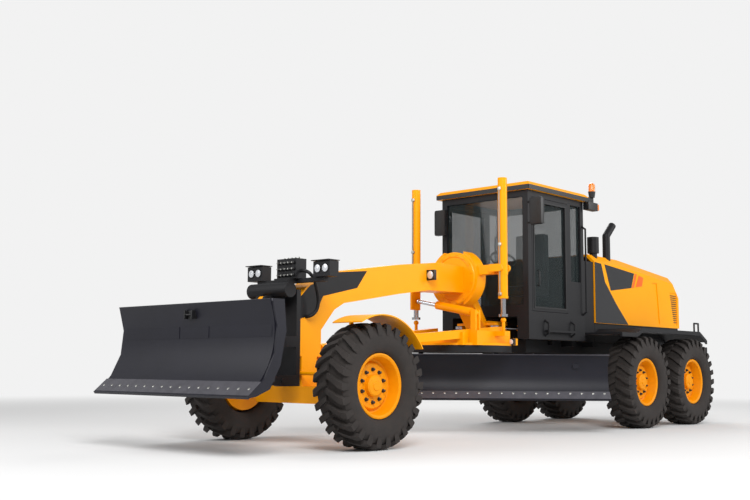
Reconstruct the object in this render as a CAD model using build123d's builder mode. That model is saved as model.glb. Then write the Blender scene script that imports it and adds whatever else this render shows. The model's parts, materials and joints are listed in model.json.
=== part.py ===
from math import atan2, degrees, hypot, radians, tan
import os

from build123d import *

os.makedirs("parts", exist_ok=True)

# Overall layout in mm: +X is forward, +Y is the machine's left side, +Z is up from the ground.
DOZER_REACH = 1860
REAR_REACH = 8760
AXLE_X = (REAR_REACH - DOZER_REACH) / 2
WHEELBASE = 5838
TANDEM_PITCH = 1542
TANDEM_X = AXLE_X - WHEELBASE
RUN = 0.3
GAP = 6

# Wheels.
TYRE_R = 675
TYRE_W = 430
TYRE_CORNER = 60
LUGS = 13
LUG_H = 42
LUG_W = 84
LUG_FOOT = 116
LUG_SLANT = 90
LUG_END_GAP = 12
RIM_R = 352
RIM_WALL = 22
TRACK_FRONT = 2 * (1310 - TYRE_W / 2)
TRACK_REAR = 2 * (1365 - TYRE_W / 2)
HUB_R = 120
DISC_T = 24
DISC_SET = 60
STUD_CIRCLE_R = 190
HAND_HOLE_R = 24
HAND_HOLES = 10

# Front axle, leaning carriers and steering knuckles.
AXLE_BEAM_H = 190
AXLE_BEAM_L = 240
LEAN_PIN_Y = 700
LEAN_PIN_Z = 560
LEAN_PIN_R = 28
KINGPIN_Y = 845
KINGPIN_R = 30
HOUSING_R = 50
HOUSING_Z0 = 590
HOUSING_Z1 = 760
EAR_T = 40
ARM_L = 220
TIE_R = 22
ARM_T_STEER = 24
TIE_Z = HOUSING_Z1 + EAR_T / 2
TIE_GAP = 58
TIE_FORK_T = 12
TIE_REACH = 124
LEAN_BAR_Z = 800
SPINDLE_R = 46

# Front frame.
BEAM_W = 330
SADDLE_X = AXLE_X - 2980
SADDLE_Z = 2080
SADDLE_R = 400
SADDLE_T = 190
PIVOT_X = AXLE_X - 3850
PIVOT_R = 50
PIVOT_Z0 = 1300
PIVOT_Z1 = 1570
LUG_T = 50
LUG_R = 120

# Cutting edges of both blades: thickness, depth of their seat and share of the face's curve.
EDGE_T = 16
EDGE_SEAT = 12
EDGE_SHARE = 0.2

# Front dozer blade and its parallel linkage.
DOZER_W = 2560
DOZER_BOTTOM = 580
DOZER_H = 945
DOZER_LEAN = 324
DOZER_SKIN = 26
ARM_Y = 300
ARM_T = 70
ARM_REAR_X = AXLE_X + 560
ARM_REAR_Z = 720
PIN_TO_BLADE = 176
LINK_SPAN_X = AXLE_X + DOZER_REACH - DOZER_LEAN - PIN_TO_BLADE - ARM_REAR_X
LINK_SPAN_Z = 70
LINK_RISE = 430
UPRIGHT_T = 60
UPRIGHT_TOP = 1730

# Drawbar, circle and moldboard.
BALL_X = AXLE_X - 320
BALL_Z = 1040
BALL_R = 70
DRAWBAR_W = 1250
DRAWBAR_H = 130
DRAWBAR_Z = 1290
HIP_Z = 1370
SWIVEL_X = BALL_X - 190
SWIVEL_R = 30
CIRCLE_X = SADDLE_X
CIRCLE_R = 720
CIRCLE_WALL = 90
CIRCLE_Z0 = 1075
CIRCLE_Z1 = 1165
BLADE_ANGLE = 43
BLADE_L = 4270
BLADE_H = 610
BLADE_SKIN = 25
BLADE_BOTTOM = 450
BLADE_FORWARD = 300
BLADE_DEPTH = 180
NOSE_RISE = 100

# Lift cylinders.
LIFT_Y = 750
LIFT_PIVOT_Z = 2190
LIFT_TOP_Z = 3400
LIFT_R = 62
ROD_R = 34
LIFT_EYE_Z = 1500

# Cab.
CAB_W = 1500
CAB_FRONT_X = AXLE_X - 3580
CAB_REAR_X = AXLE_X - 5040
CAB_FLOOR = 1620
CAB_TOP = 3330
CAB_WALL = 60
PILLAR = 90
SKIRT_Z = 1270
ROOF_T = 110
ROOF_OVER = 60

# Rear frame, engine bay and platforms.
FRAME_W = 760
FRAME_Z0 = 1095
FRAME_Z1 = 1270
RAIL_T = 90
TOWER_L = 600
HOOD_L = 2810
HOOD_KNEE = 900
HOOD_BEVEL = 120
HOOD_KNEE_DROP = 20
HOOD_TAIL_L = 150
HOOD_TAIL_DROP = 170
HOOD_FRONT_X = CAB_REAR_X - TOWER_L
HOOD_REAR_X = HOOD_FRONT_X - HOOD_L
HOOD_W = 1160
HOOD_TOP_FRONT = 2620
HOOD_TOP_REAR = 2430
HOOD_BOTTOM = 1560
HOOD_SKIN = 30
PLATFORM_Y = 1300
PLATFORM_T = 30


def place(x, y, z, direction):
    """Plane at a point whose normal runs along the direction."""
    return Plane(origin=(x, y, z), z_dir=direction)


def save(part, label):
    """Name a finished piece and write it."""
    part.label = label
    export_step(part, "parts/" + label + ".step")


def tube_between(a, b, radius):
    """Add a round bar from point a to point b to the part being built."""
    line = Vector(*b) - Vector(*a)
    with BuildSketch(place(*a, line)) as profile:
        Circle(radius)
    extrude(profile.sketch, amount=line.length)


def side_profile(points, width, y=0):
    """Add a plate or block whose side outline is the points, centred on y."""
    with BuildSketch(Plane.XZ.offset(-y)) as profile:
        with BuildLine():
            Polyline(*points, close=True)
        make_face()
    extrude(profile.sketch, amount=width / 2, both=True)


def block(x0, x1, y0, y1, z0, z1, mode=Mode.ADD):
    """Add a block by its six limits."""
    with Locations(((x0 + x1) / 2, (y0 + y1) / 2, (z0 + z1) / 2)):
        Box(abs(x1 - x0), abs(y1 - y0), abs(z1 - z0), mode=mode)


def round_y(x, z, radius, y0, y1, mode=Mode.ADD):
    """Add or cut a round bar along Y."""
    with BuildSketch(Plane.XZ.offset(-y0)) as profile:
        with Locations((x, z)):
            Circle(radius)
    extrude(profile.sketch, amount=-(y1 - y0), mode=mode)


def round_z(x, y, radius, z, height, mode=Mode.ADD):
    """Add or cut an upright round bar centred on a point."""
    with Locations((x, y, z)):
        Cylinder(radius, height, mode=mode)


def bar_plate(a, b, width, bore, y0, y1):
    """Add a flat link with rounded ends and a bore at a and at b, both as (x, z)."""
    middle = ((a[0] + b[0]) / 2, (a[1] + b[1]) / 2)
    span = hypot(b[0] - a[0], b[1] - a[1])
    tilt = degrees(atan2(b[1] - a[1], b[0] - a[0]))
    with BuildSketch(Plane.XZ.offset(-y0)) as profile:
        with Locations(Location((*middle, 0), (0, 0, tilt))):
            SlotCenterToCenter(span, width)
        with Locations(a, b):
            Circle(bore, mode=Mode.SUBTRACT)
    extrude(profile.sketch, amount=-(y1 - y0))


def cutting_edge(low, high, width):
    """Add a wear plate over a blade's face between two points of its side curve."""
    out = Vector(high.Y - low.Y, low.X - high.X).normalized()
    corners = (low - out * EDGE_SEAT, high - out * EDGE_SEAT, high + out * EDGE_T, low + out * EDGE_T)
    side_profile([(corner.X, corner.Y) for corner in corners], width)


# Wheels: each is a tyre over a pressed rim with a disc and a hub.
def tyre_body():
    """Tyre about the Y axis: a carcass with flat facets and two rows of slanted lugs, one straight down."""
    half = TYRE_W / 2
    carcass = TYRE_R - LUG_H
    shoulder = TYRE_R - 2 * TYRE_CORNER
    pitch = 360 / LUGS
    # Columns: distance from the middle, radius over the corners.
    sections = (
        (-half, shoulder), (TYRE_CORNER - half, carcass), (half - TYRE_CORNER, carcass), (half, shoulder)
    )
    aside = (LUG_W + LUG_SLANT) / 2
    lug_top = (TYRE_R**2 - aside**2) ** 0.5
    corner_turn = degrees(atan2(aside, lug_top))
    low_side = -LUG_SLANT / 2
    outline = Polygon(
        (shoulder, low_side - LUG_FOOT / 2),
        (lug_top, low_side - LUG_W / 2),
        (lug_top, low_side + LUG_W / 2),
        (shoulder, low_side + LUG_FOOT / 2),
        align=None,
    )
    lugs = []
    for side in (1, -1):
        start = Plane.XZ.offset(-side * LUG_END_GAP)
        way = Vector(0, side * (half - 2 * LUG_END_GAP), LUG_SLANT)
        lug = extrude(start * outline, amount=way.length, dir=tuple(way))
        first = 90 - corner_turn + (0 if side > 0 else pitch / 2)
        lugs += [lug.rotate(Axis.Y, first + pitch * k) for k in range(LUGS)]
    with BuildPart() as body:
        for low, high in zip(sections, sections[1:]):
            with BuildSketch(Plane.XZ.offset(-low[0])) as near:
                RegularPolygon(low[1], LUGS, rotation=pitch / 4)
            with BuildSketch(Plane.XZ.offset(-high[0])) as far:
                RegularPolygon(high[1], LUGS, rotation=pitch / 4)
            loft([near.sketch.faces()[0], far.sketch.faces()[0]], ruled=True)
        add(lugs)
        with BuildSketch(Plane.XZ.offset(-half)) as bore:
            RegularPolygon(RIM_R, 2 * LUGS, major_radius=False)
        extrude(bore.sketch, amount=TYRE_W, mode=Mode.SUBTRACT)
    return body.part


def rim(x, y, side, label):
    half = TYRE_W / 2 - TYRE_CORNER
    disc = side * (half - DISC_SET)
    with BuildPart() as body:
        with BuildSketch(Plane.XZ.offset(-half)):
            Circle(RIM_R)
            Circle(RIM_R - RIM_WALL, mode=Mode.SUBTRACT)
        extrude(amount=2 * half)
        with BuildSketch(Plane.XZ.offset(-disc)):
            Circle(RIM_R - RIM_WALL)
            with PolarLocations(STUD_CIRCLE_R + 2 * HAND_HOLE_R, HAND_HOLES):
                Circle(HAND_HOLE_R, mode=Mode.SUBTRACT)
        extrude(amount=DISC_T / 2, both=True)
        with BuildSketch(Plane.XZ.offset(-disc)):
            Circle(HUB_R)
        extrude(amount=2 * DISC_T, both=True)
        with BuildSketch(Plane.XZ.offset(-disc)):
            Circle(SPINDLE_R + RUN)
        extrude(amount=side * 2 * DISC_T, mode=Mode.SUBTRACT)
    save(body.part.moved(Location((x, y, TYRE_R))), label)


# Columns: name, x, track.
WHEEL_ROWS = (
    ("front", AXLE_X, TRACK_FRONT),
    ("middle", TANDEM_X, TRACK_REAR),
    ("rear", TANDEM_X - TANDEM_PITCH, TRACK_REAR),
)
tyre_shape = tyre_body()
for name, wheel_x, track in WHEEL_ROWS:
    for side_name, side in (("left", 1), ("right", -1)):
        save(
            tyre_shape.moved(Location((wheel_x, side * track / 2, TYRE_R))), "tyre_" + name + "_" + side_name
        )
        rim(wheel_x, side * track / 2, side, "rim_" + name + "_" + side_name)


# Front axle: a box beam on a centre trunnion block, with forks for the leaning carriers.
FORK_X = 61
FORK_OUT = AXLE_BEAM_L / 2
BEAM_END_Y = 600
LEAN_LUG_R = 55
COLUMN_Z = 990
with BuildPart() as front_axle:
    beam_z0 = LEAN_PIN_Z - AXLE_BEAM_H / 2
    beam_z1 = LEAN_PIN_Z + AXLE_BEAM_H / 2
    block(AXLE_X - FORK_OUT, AXLE_X + FORK_OUT, -BEAM_END_Y, BEAM_END_Y, beam_z0, beam_z1)
    block(AXLE_X - FORK_OUT, AXLE_X + FORK_OUT, -BEAM_W / 2, BEAM_W / 2, beam_z1, COLUMN_Z)
    for side in (1, -1):
        for fork in (1, -1):
            block(
                AXLE_X + fork * (FORK_X + 2 * RUN),
                AXLE_X + fork * FORK_OUT,
                side * BEAM_END_Y,
                side * (LEAN_PIN_Y + LEAN_LUG_R),
                LEAN_PIN_Z - LEAN_LUG_R,
                LEAN_PIN_Z + LEAN_LUG_R,
            )
        tube_between(
            (AXLE_X - FORK_OUT, side * LEAN_PIN_Y, LEAN_PIN_Z),
            (AXLE_X + FORK_OUT, side * LEAN_PIN_Y, LEAN_PIN_Z),
            LEAN_PIN_R,
        )
    barrel_y = BEAM_W / 2 - 10
    tube_between((AXLE_X - ARM_L, -barrel_y, TIE_Z), (AXLE_X - ARM_L, barrel_y, TIE_Z), 2 * TIE_R)
    for side in (1, -1):
        block(
            AXLE_X - ARM_L,
            AXLE_X - FORK_OUT,
            side * (barrel_y - 2 * TIE_R),
            side * barrel_y,
            TIE_Z - TIE_R,
            TIE_Z + TIE_R,
        )
    with BuildSketch(place(AXLE_X - ARM_L, -barrel_y, TIE_Z, (0, 1, 0))):
        Circle(TIE_R + RUN)
    extrude(amount=2 * barrel_y, mode=Mode.SUBTRACT)
save(front_axle.part, "front_axle")

LEAN_BAR_LUG = 40


def leaning_carrier(side, label):
    """Carrier that leans on the axle fork's pin and holds the kingpin."""
    y = side * LEAN_PIN_Y
    with BuildPart() as carrier:
        with BuildSketch(Plane.YZ.offset(AXLE_X - FORK_X)):
            with Locations((y, LEAN_PIN_Z)):
                Circle(LEAN_LUG_R)
        extrude(amount=2 * FORK_X)
        block(
            AXLE_X - HOUSING_R,
            AXLE_X + HOUSING_R,
            y - side * LEAN_BAR_LUG,
            y + side * LEAN_BAR_LUG,
            LEAN_PIN_Z,
            HOUSING_Z1 - HOUSING_R,
        )
        block(
            AXLE_X - HOUSING_R,
            AXLE_X + HOUSING_R,
            y - side * LEAN_BAR_LUG,
            side * KINGPIN_Y,
            HOUSING_Z0 + RUN,
            HOUSING_Z1 - HOUSING_R,
        )
        block(
            AXLE_X - LEAN_BAR_LUG,
            AXLE_X + LEAN_BAR_LUG,
            y - LEAN_BAR_LUG / 2,
            y + LEAN_BAR_LUG / 2,
            HOUSING_Z1 - 2 * HOUSING_R,
            LEAN_BAR_Z + LEAN_BAR_LUG / 2,
        )
        tube_between(
            (AXLE_X, side * KINGPIN_Y, HOUSING_Z0 + RUN),
            (AXLE_X, side * KINGPIN_Y, HOUSING_Z1 - RUN),
            HOUSING_R,
        )
        with BuildSketch(Plane.YZ.offset(AXLE_X - FORK_X)):
            with Locations((y, LEAN_PIN_Z)):
                Circle(LEAN_PIN_R + RUN)
        extrude(amount=2 * FORK_X, mode=Mode.SUBTRACT)
        with BuildSketch(Plane.XY.offset(HOUSING_Z0)):
            with Locations((AXLE_X, side * KINGPIN_Y)):
                Circle(KINGPIN_R + RUN)
        extrude(amount=HOUSING_Z1 - HOUSING_Z0, mode=Mode.SUBTRACT)
    save(carrier.part, label)


KNUCKLE_PLATE_Y = KINGPIN_Y + HOUSING_R + GAP
KNUCKLE_PLATE_T = 34
FENDER_R = TYRE_R + 75
FENDER_T = 12
FENDER_FROM = 62
FENDER_TO = 148


def knuckle(side, label):
    """Steering knuckle with its kingpin, spindle, steering arm and the wheel's fender."""
    wheel_y = side * TRACK_FRONT / 2
    hub_y = wheel_y + side * (TYRE_W / 2 - TYRE_CORNER - DISC_SET) - side * RUN
    plate_y = side * (KNUCKLE_PLATE_Y + KNUCKLE_PLATE_T)
    with BuildPart() as body:
        for z0, z1 in ((HOUSING_Z0 - EAR_T, HOUSING_Z0), (HOUSING_Z1, HOUSING_Z1 + EAR_T)):
            tube_between((AXLE_X, side * KINGPIN_Y, z0), (AXLE_X, side * KINGPIN_Y, z1), HOUSING_R)
            block(AXLE_X - HOUSING_R, AXLE_X + HOUSING_R, side * KINGPIN_Y, plate_y, z0, z1)
        block(
            AXLE_X - HOUSING_R,
            AXLE_X + HOUSING_R,
            side * KNUCKLE_PLATE_Y,
            plate_y,
            HOUSING_Z0 - EAR_T,
            HOUSING_Z1 + EAR_T,
        )
        tube_between(
            (AXLE_X, side * KINGPIN_Y, HOUSING_Z0 - EAR_T),
            (AXLE_X, side * KINGPIN_Y, HOUSING_Z1 + EAR_T),
            KINGPIN_R,
        )
        tube_between((AXLE_X, plate_y - side, TYRE_R), (AXLE_X, hub_y, TYRE_R), SPINDLE_R)
        block(
            AXLE_X - ARM_L,
            AXLE_X,
            side * (KINGPIN_Y - HOUSING_R),
            side * (KINGPIN_Y - HOUSING_R + 2 * ARM_T_STEER),
            TIE_Z - ARM_T_STEER / 2,
            TIE_Z + ARM_T_STEER / 2,
        )
        post_y = side * (TRACK_FRONT / 2 - TYRE_W / 2 - 2 * ARM_T_STEER)
        post = (AXLE_X - ARM_T_STEER, AXLE_X + ARM_T_STEER)
        block(*post, post_y, post_y - side * ARM_T_STEER, HOUSING_Z1 + 1, TYRE_R + FENDER_R)
        block(
            *post,
            post_y,
            post_y + side * (TYRE_W / 2),
            TYRE_R + FENDER_R - FENDER_T / 2,
            TYRE_R + FENDER_R + FENDER_T,
        )
        with BuildSketch(Plane.XZ.offset(-(wheel_y - TYRE_W / 2))):
            with BuildLine():
                inner = CenterArc((AXLE_X, TYRE_R), FENDER_R, FENDER_FROM, FENDER_TO - FENDER_FROM)
                outer = CenterArc(
                    (AXLE_X, TYRE_R), FENDER_R + FENDER_T, FENDER_FROM, FENDER_TO - FENDER_FROM
                )
                Line(inner @ 0, outer @ 0)
                Line(inner @ 1, outer @ 1)
            make_face()
        extrude(amount=-TYRE_W)
    save(body.part, label)


for side_name, side in (("left", 1), ("right", -1)):
    leaning_carrier(side, "lean_carrier_" + side_name)
    knuckle(side, "knuckle_" + side_name)

TIE_END_Y = KINGPIN_Y - HOUSING_R + ARM_T_STEER
with BuildPart() as tie_rod:
    web_y = TIE_END_Y - TIE_REACH
    tube_between((AXLE_X - ARM_L, -web_y, TIE_Z), (AXLE_X - ARM_L, web_y, TIE_Z), TIE_R)
    fork_in = TIE_GAP + ARM_T_STEER / 2
    fork_out = fork_in + TIE_FORK_T
    for side in (1, -1):
        limits = (AXLE_X - ARM_L - TIE_R, AXLE_X - ARM_L + TIE_R)
        block(*limits, side * web_y, side * (web_y - TIE_R), TIE_Z - fork_out, TIE_Z + fork_out)
        for up in (1, -1):
            block(
                *limits,
                side * (web_y - TIE_R),
                side * TIE_END_Y,
                TIE_Z + up * fork_in,
                TIE_Z + up * fork_out,
            )
save(tie_rod.part, "tie_rod")

LEAN_FORK_X = LEAN_BAR_LUG + RUN
LEAN_TUBE_X = FORK_OUT + 30
with BuildPart() as lean_bar:
    bar_end = LEAN_PIN_Y - 2 * LEAN_BAR_LUG
    tube_between(
        (AXLE_X + LEAN_TUBE_X, -bar_end, LEAN_BAR_Z), (AXLE_X + LEAN_TUBE_X, bar_end, LEAN_BAR_Z), 20
    )
    for side in (1, -1):
        block(
            AXLE_X + LEAN_FORK_X,
            AXLE_X + LEAN_TUBE_X + 20,
            side * (bar_end - 40),
            side * (LEAN_PIN_Y + LEAN_BAR_LUG),
            LEAN_BAR_Z - 30,
            LEAN_BAR_Z + 30,
        )
save(lean_bar.part, "lean_bar")


# Front frame: the gooseneck from the axle column to the articulation lug, each point measured from the axle.
GOOSENECK = (
    (240, COLUMN_Z),
    (240, 1560),
    (60, 1780),
    (-505, 2003),
    (-1552, 2160),
    (-2358, 2250),
    (-2900, 2235),
    (-3400, PIVOT_Z1 - LUG_T - RUN),
    (-3850, PIVOT_Z1 - LUG_T - RUN),
    (-3850, PIVOT_Z0 + LUG_T + RUN),
    (-3420, PIVOT_Z0 + LUG_T + RUN),
    (-3200, 1640),
    (-2900, 1880),
    (-2149, 1872),
    (-1554, 1790),
    (-997, 1697),
    (-561, 1625),
    (-400, 1540),
    (-183, 1296),
    (-183, COLUMN_Z),
)
STUD_R = 36
HITCH_CYL_Z = 1430
FRONT_LUG_X = AXLE_X - 3420
FRONT_LUG_Y = 300
REAR_LUG_X = AXLE_X - 4560
REAR_LUG_Y = 400
SHIFT_X = AXLE_X - 2620
SHIFT_TIP_Y = -400
SHIFT_TIP_Z = 1770
SHIFT_TIP_R = 40
SHIFT_PAD_GAP = 8
SHIFT_PAD_T = 30
SHIFT_PAD = (90, 1655, 1955)
SHIFT_STRUT = (45, 1895)
NECK_LAMP_X = AXLE_X - 2160
NECK_LAMP_Z = (2010, 2120)
HITCH_EAR_IN = 27
HITCH_EAR_T = 32
with BuildPart() as front_frame:
    side_profile([(AXLE_X + x, z) for x, z in GOOSENECK], BEAM_W)
    tube_between(
        (PIVOT_X, 0, PIVOT_Z0 + LUG_T + RUN), (PIVOT_X, 0, PIVOT_Z1 - LUG_T - RUN), BEAM_W / 2
    )
    tube_between((AXLE_X - 183 + 1, 0, BALL_Z), (BALL_X, 0, BALL_Z), STUD_R)
    with Locations((BALL_X, 0, BALL_Z)):
        Sphere(BALL_R)
    with BuildSketch(Plane.XY.offset(PIVOT_Z0)):
        with Locations((PIVOT_X, 0)):
            Circle(PIVOT_R + RUN)
    extrude(amount=PIVOT_Z1 - PIVOT_Z0, mode=Mode.SUBTRACT)
    for side in (1, -1):
        for up in (1, -1):
            z0 = HITCH_CYL_Z + up * HITCH_EAR_IN
            z1 = z0 + up * HITCH_EAR_T
            block(FRONT_LUG_X - 45, FRONT_LUG_X + 45, side * BEAM_W / 2, side * FRONT_LUG_Y, z0, z1)
            tube_between((FRONT_LUG_X, side * FRONT_LUG_Y, z0), (FRONT_LUG_X, side * FRONT_LUG_Y, z1), 45)
        tube_between(
            (FRONT_LUG_X, side * FRONT_LUG_Y, HITCH_CYL_Z - 50),
            (FRONT_LUG_X, side * FRONT_LUG_Y, HITCH_CYL_Z + 50),
            16,
        )
    pad_y = SHIFT_TIP_Y - SHIFT_TIP_R - SHIFT_PAD_GAP
    pad_half, pad_z0, pad_z1 = SHIFT_PAD
    strut_half, strut_z0 = SHIFT_STRUT
    block(SHIFT_X - pad_half, SHIFT_X + pad_half, pad_y - SHIFT_PAD_T, pad_y, pad_z0, pad_z1)
    block(SHIFT_X - strut_half, SHIFT_X + strut_half, pad_y, 0, strut_z0, pad_z1)
    for side in (1, -1):
        block(
            NECK_LAMP_X - 45,
            NECK_LAMP_X + 45,
            side * (BEAM_W / 2 - 10),
            side * (BEAM_W / 2 + 110),
            *NECK_LAMP_Z,
        )
save(front_frame.part, "front_frame")

# Hose from the valve block down to the frame's left side.
HOSE_R = 20
HOSE_ROUTE = (
    (AXLE_X + 140, 160, 1960),
    (AXLE_X + 140, 250, 1960),
    (AXLE_X + 80, 305, 1880),
    (AXLE_X + 30, 300, 1760),
    (AXLE_X - 20, 285, 1640),
    (AXLE_X - 20, 270, 1530),
    (AXLE_X + 20, 245, 1465),
    (AXLE_X + 60, 205, 1440),
    (AXLE_X + 60, BEAM_W / 2, 1440),
)
with BuildPart() as front_hose:
    for start, end in zip(HOSE_ROUTE, HOSE_ROUTE[1:]):
        tube_between(start, end, HOSE_R)
    for bend in HOSE_ROUTE[1:-1]:
        with Locations(bend):
            Sphere(HOSE_R)
save(front_hose.part, "front_hose")

# Saddle: a round casting across the beam with an arm on each side that forks round the lift cylinder.
YOKE_H = 150
YOKE_X = 120
YOKE_ROOM = 100
CHEEK_IN = LIFT_R + 14
CHEEK_T = 30
CHEEK_R = 50
TRUNNION_R = 20
TRUNNION_TIP = 46
with BuildPart() as saddle:
    with BuildSketch(Plane.YZ.offset(SADDLE_X - SADDLE_T / 2)):
        with Locations((0, SADDLE_Z)):
            Circle(SADDLE_R)
            Rectangle(BEAM_W, SADDLE_R * 3, mode=Mode.SUBTRACT)
    extrude(amount=SADDLE_T)
    for side in (1, -1):
        arm_end = side * (LIFT_Y - YOKE_ROOM)
        block(
            SADDLE_X - YOKE_X / 2,
            SADDLE_X + YOKE_X / 2,
            side * BEAM_W / 2,
            arm_end,
            LIFT_PIVOT_Z - YOKE_H / 2,
            LIFT_PIVOT_Z + CHEEK_R,
        )
        block(
            SADDLE_X - CHEEK_IN - CHEEK_T,
            SADDLE_X + CHEEK_IN + CHEEK_T,
            arm_end - side * CHEEK_R,
            arm_end,
            LIFT_PIVOT_Z - CHEEK_R,
            LIFT_PIVOT_Z + CHEEK_R,
        )
        for fore in (1, -1):
            inner_x = SADDLE_X + fore * CHEEK_IN
            outer_x = SADDLE_X + fore * (CHEEK_IN + CHEEK_T)
            block(inner_x, outer_x, arm_end, side * LIFT_Y, LIFT_PIVOT_Z - CHEEK_R, LIFT_PIVOT_Z + CHEEK_R)
            tube_between(
                (inner_x, side * LIFT_Y, LIFT_PIVOT_Z), (outer_x, side * LIFT_Y, LIFT_PIVOT_Z), CHEEK_R
            )
            tube_between(
                (SADDLE_X + fore * TRUNNION_TIP, side * LIFT_Y, LIFT_PIVOT_Z),
                (outer_x, side * LIFT_Y, LIFT_PIVOT_Z),
                TRUNNION_R,
            )
save(saddle.part, "saddle")

# Lift cylinders: the barrel turns in the saddle's fork and the rod's foot stands over the drawbar's ball.
FOOT_R = 60
FOOT_T = 34
LIFT_BALL_R = 36
STUD_NECK_R = 22
LIFT_BARREL_Z = 1780
ROD_TOP_Z = 3300
ROD_INSET = 20
BOSS_R = 38


def lift_cylinder(y, label):
    """Upright hydraulic cylinder: a barrel with a rod bore and trunnion bosses, and the rod below it."""
    with BuildPart() as barrel:
        tube_between((SADDLE_X, y, LIFT_BARREL_Z), (SADDLE_X, y, LIFT_TOP_Z), LIFT_R)
        tube_between(
            (SADDLE_X - CHEEK_IN + GAP, y, LIFT_PIVOT_Z),
            (SADDLE_X + CHEEK_IN - GAP, y, LIFT_PIVOT_Z),
            BOSS_R,
        )
        with BuildSketch(Plane.XY.offset(LIFT_BARREL_Z)):
            with Locations((SADDLE_X, y)):
                Circle(ROD_R + RUN)
        extrude(amount=ROD_TOP_Z - LIFT_BARREL_Z, mode=Mode.SUBTRACT)
        for fore in (1, -1):
            with BuildSketch(place(SADDLE_X + fore * (TRUNNION_TIP - RUN), y, LIFT_PIVOT_Z, (fore, 0, 0))):
                Circle(TRUNNION_R + RUN)
            extrude(amount=CHEEK_IN - TRUNNION_TIP, mode=Mode.SUBTRACT)
    save(barrel.part, "lift_barrel_" + label)
    foot_z = LIFT_EYE_Z + LIFT_BALL_R + GAP
    with BuildPart() as rod:
        tube_between((SADDLE_X, y, foot_z), (SADDLE_X, y, foot_z + FOOT_T), FOOT_R)
        tube_between((SADDLE_X, y, foot_z), (SADDLE_X, y, ROD_TOP_Z - ROD_INSET), ROD_R)
    save(rod.part, "lift_rod_" + label)


for side_name, side in (("left", 1), ("right", -1)):
    lift_cylinder(side * LIFT_Y, side_name)

# Drawbar: an A-frame from the ball socket at the front to a plate that carries the circle.
PLATE_T = 30
SOCKET_T = 45
SIDE_BEAM = 110
REAR_BEAM_X = CIRCLE_X - 180
BEAM_DROP = 40
NOSE_L = 150
NOSE_R = 60
FORK_H = 75
SWIVEL_LUG = 80
BLADE_LAMP = 90
SIDE_PLATE = (300, 440)
SHIFT_PIN_Y = 560
SHIFT_PIN_Z = 1585
SHIFT_PIN_R = 20
SHIFT_EYE_R = 36
SHIFT_EYE_T = 50
SHIFT_R = 55
with BuildPart() as drawbar_socket:
    tube_between((SWIVEL_X + NOSE_R + 10, 0, BALL_Z), (BALL_X + BALL_R / 2, 0, BALL_Z), BALL_R + SOCKET_T)
    block(SWIVEL_X, SWIVEL_X + 2 * NOSE_R, -NOSE_R, NOSE_R, BALL_Z - SWIVEL_LUG / 2, BALL_Z + SWIVEL_LUG / 2)
    tube_between((SWIVEL_X, 0, BALL_Z - SWIVEL_LUG / 2), (SWIVEL_X, 0, BALL_Z + SWIVEL_LUG / 2), NOSE_R)
    with Locations((BALL_X, 0, BALL_Z)):
        Sphere(BALL_R + RUN, mode=Mode.SUBTRACT)
    with BuildSketch(Plane.YZ.offset(BALL_X)):
        with Locations((0, BALL_Z)):
            Circle(BALL_R + RUN)
    extrude(amount=BALL_R, mode=Mode.SUBTRACT)
    with BuildSketch(Plane.XY.offset(BALL_Z - SWIVEL_LUG / 2)):
        with Locations((SWIVEL_X, 0)):
            Circle(SWIVEL_R + RUN)
    extrude(amount=SWIVEL_LUG, mode=Mode.SUBTRACT)
save(drawbar_socket.part, "drawbar_socket")

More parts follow.
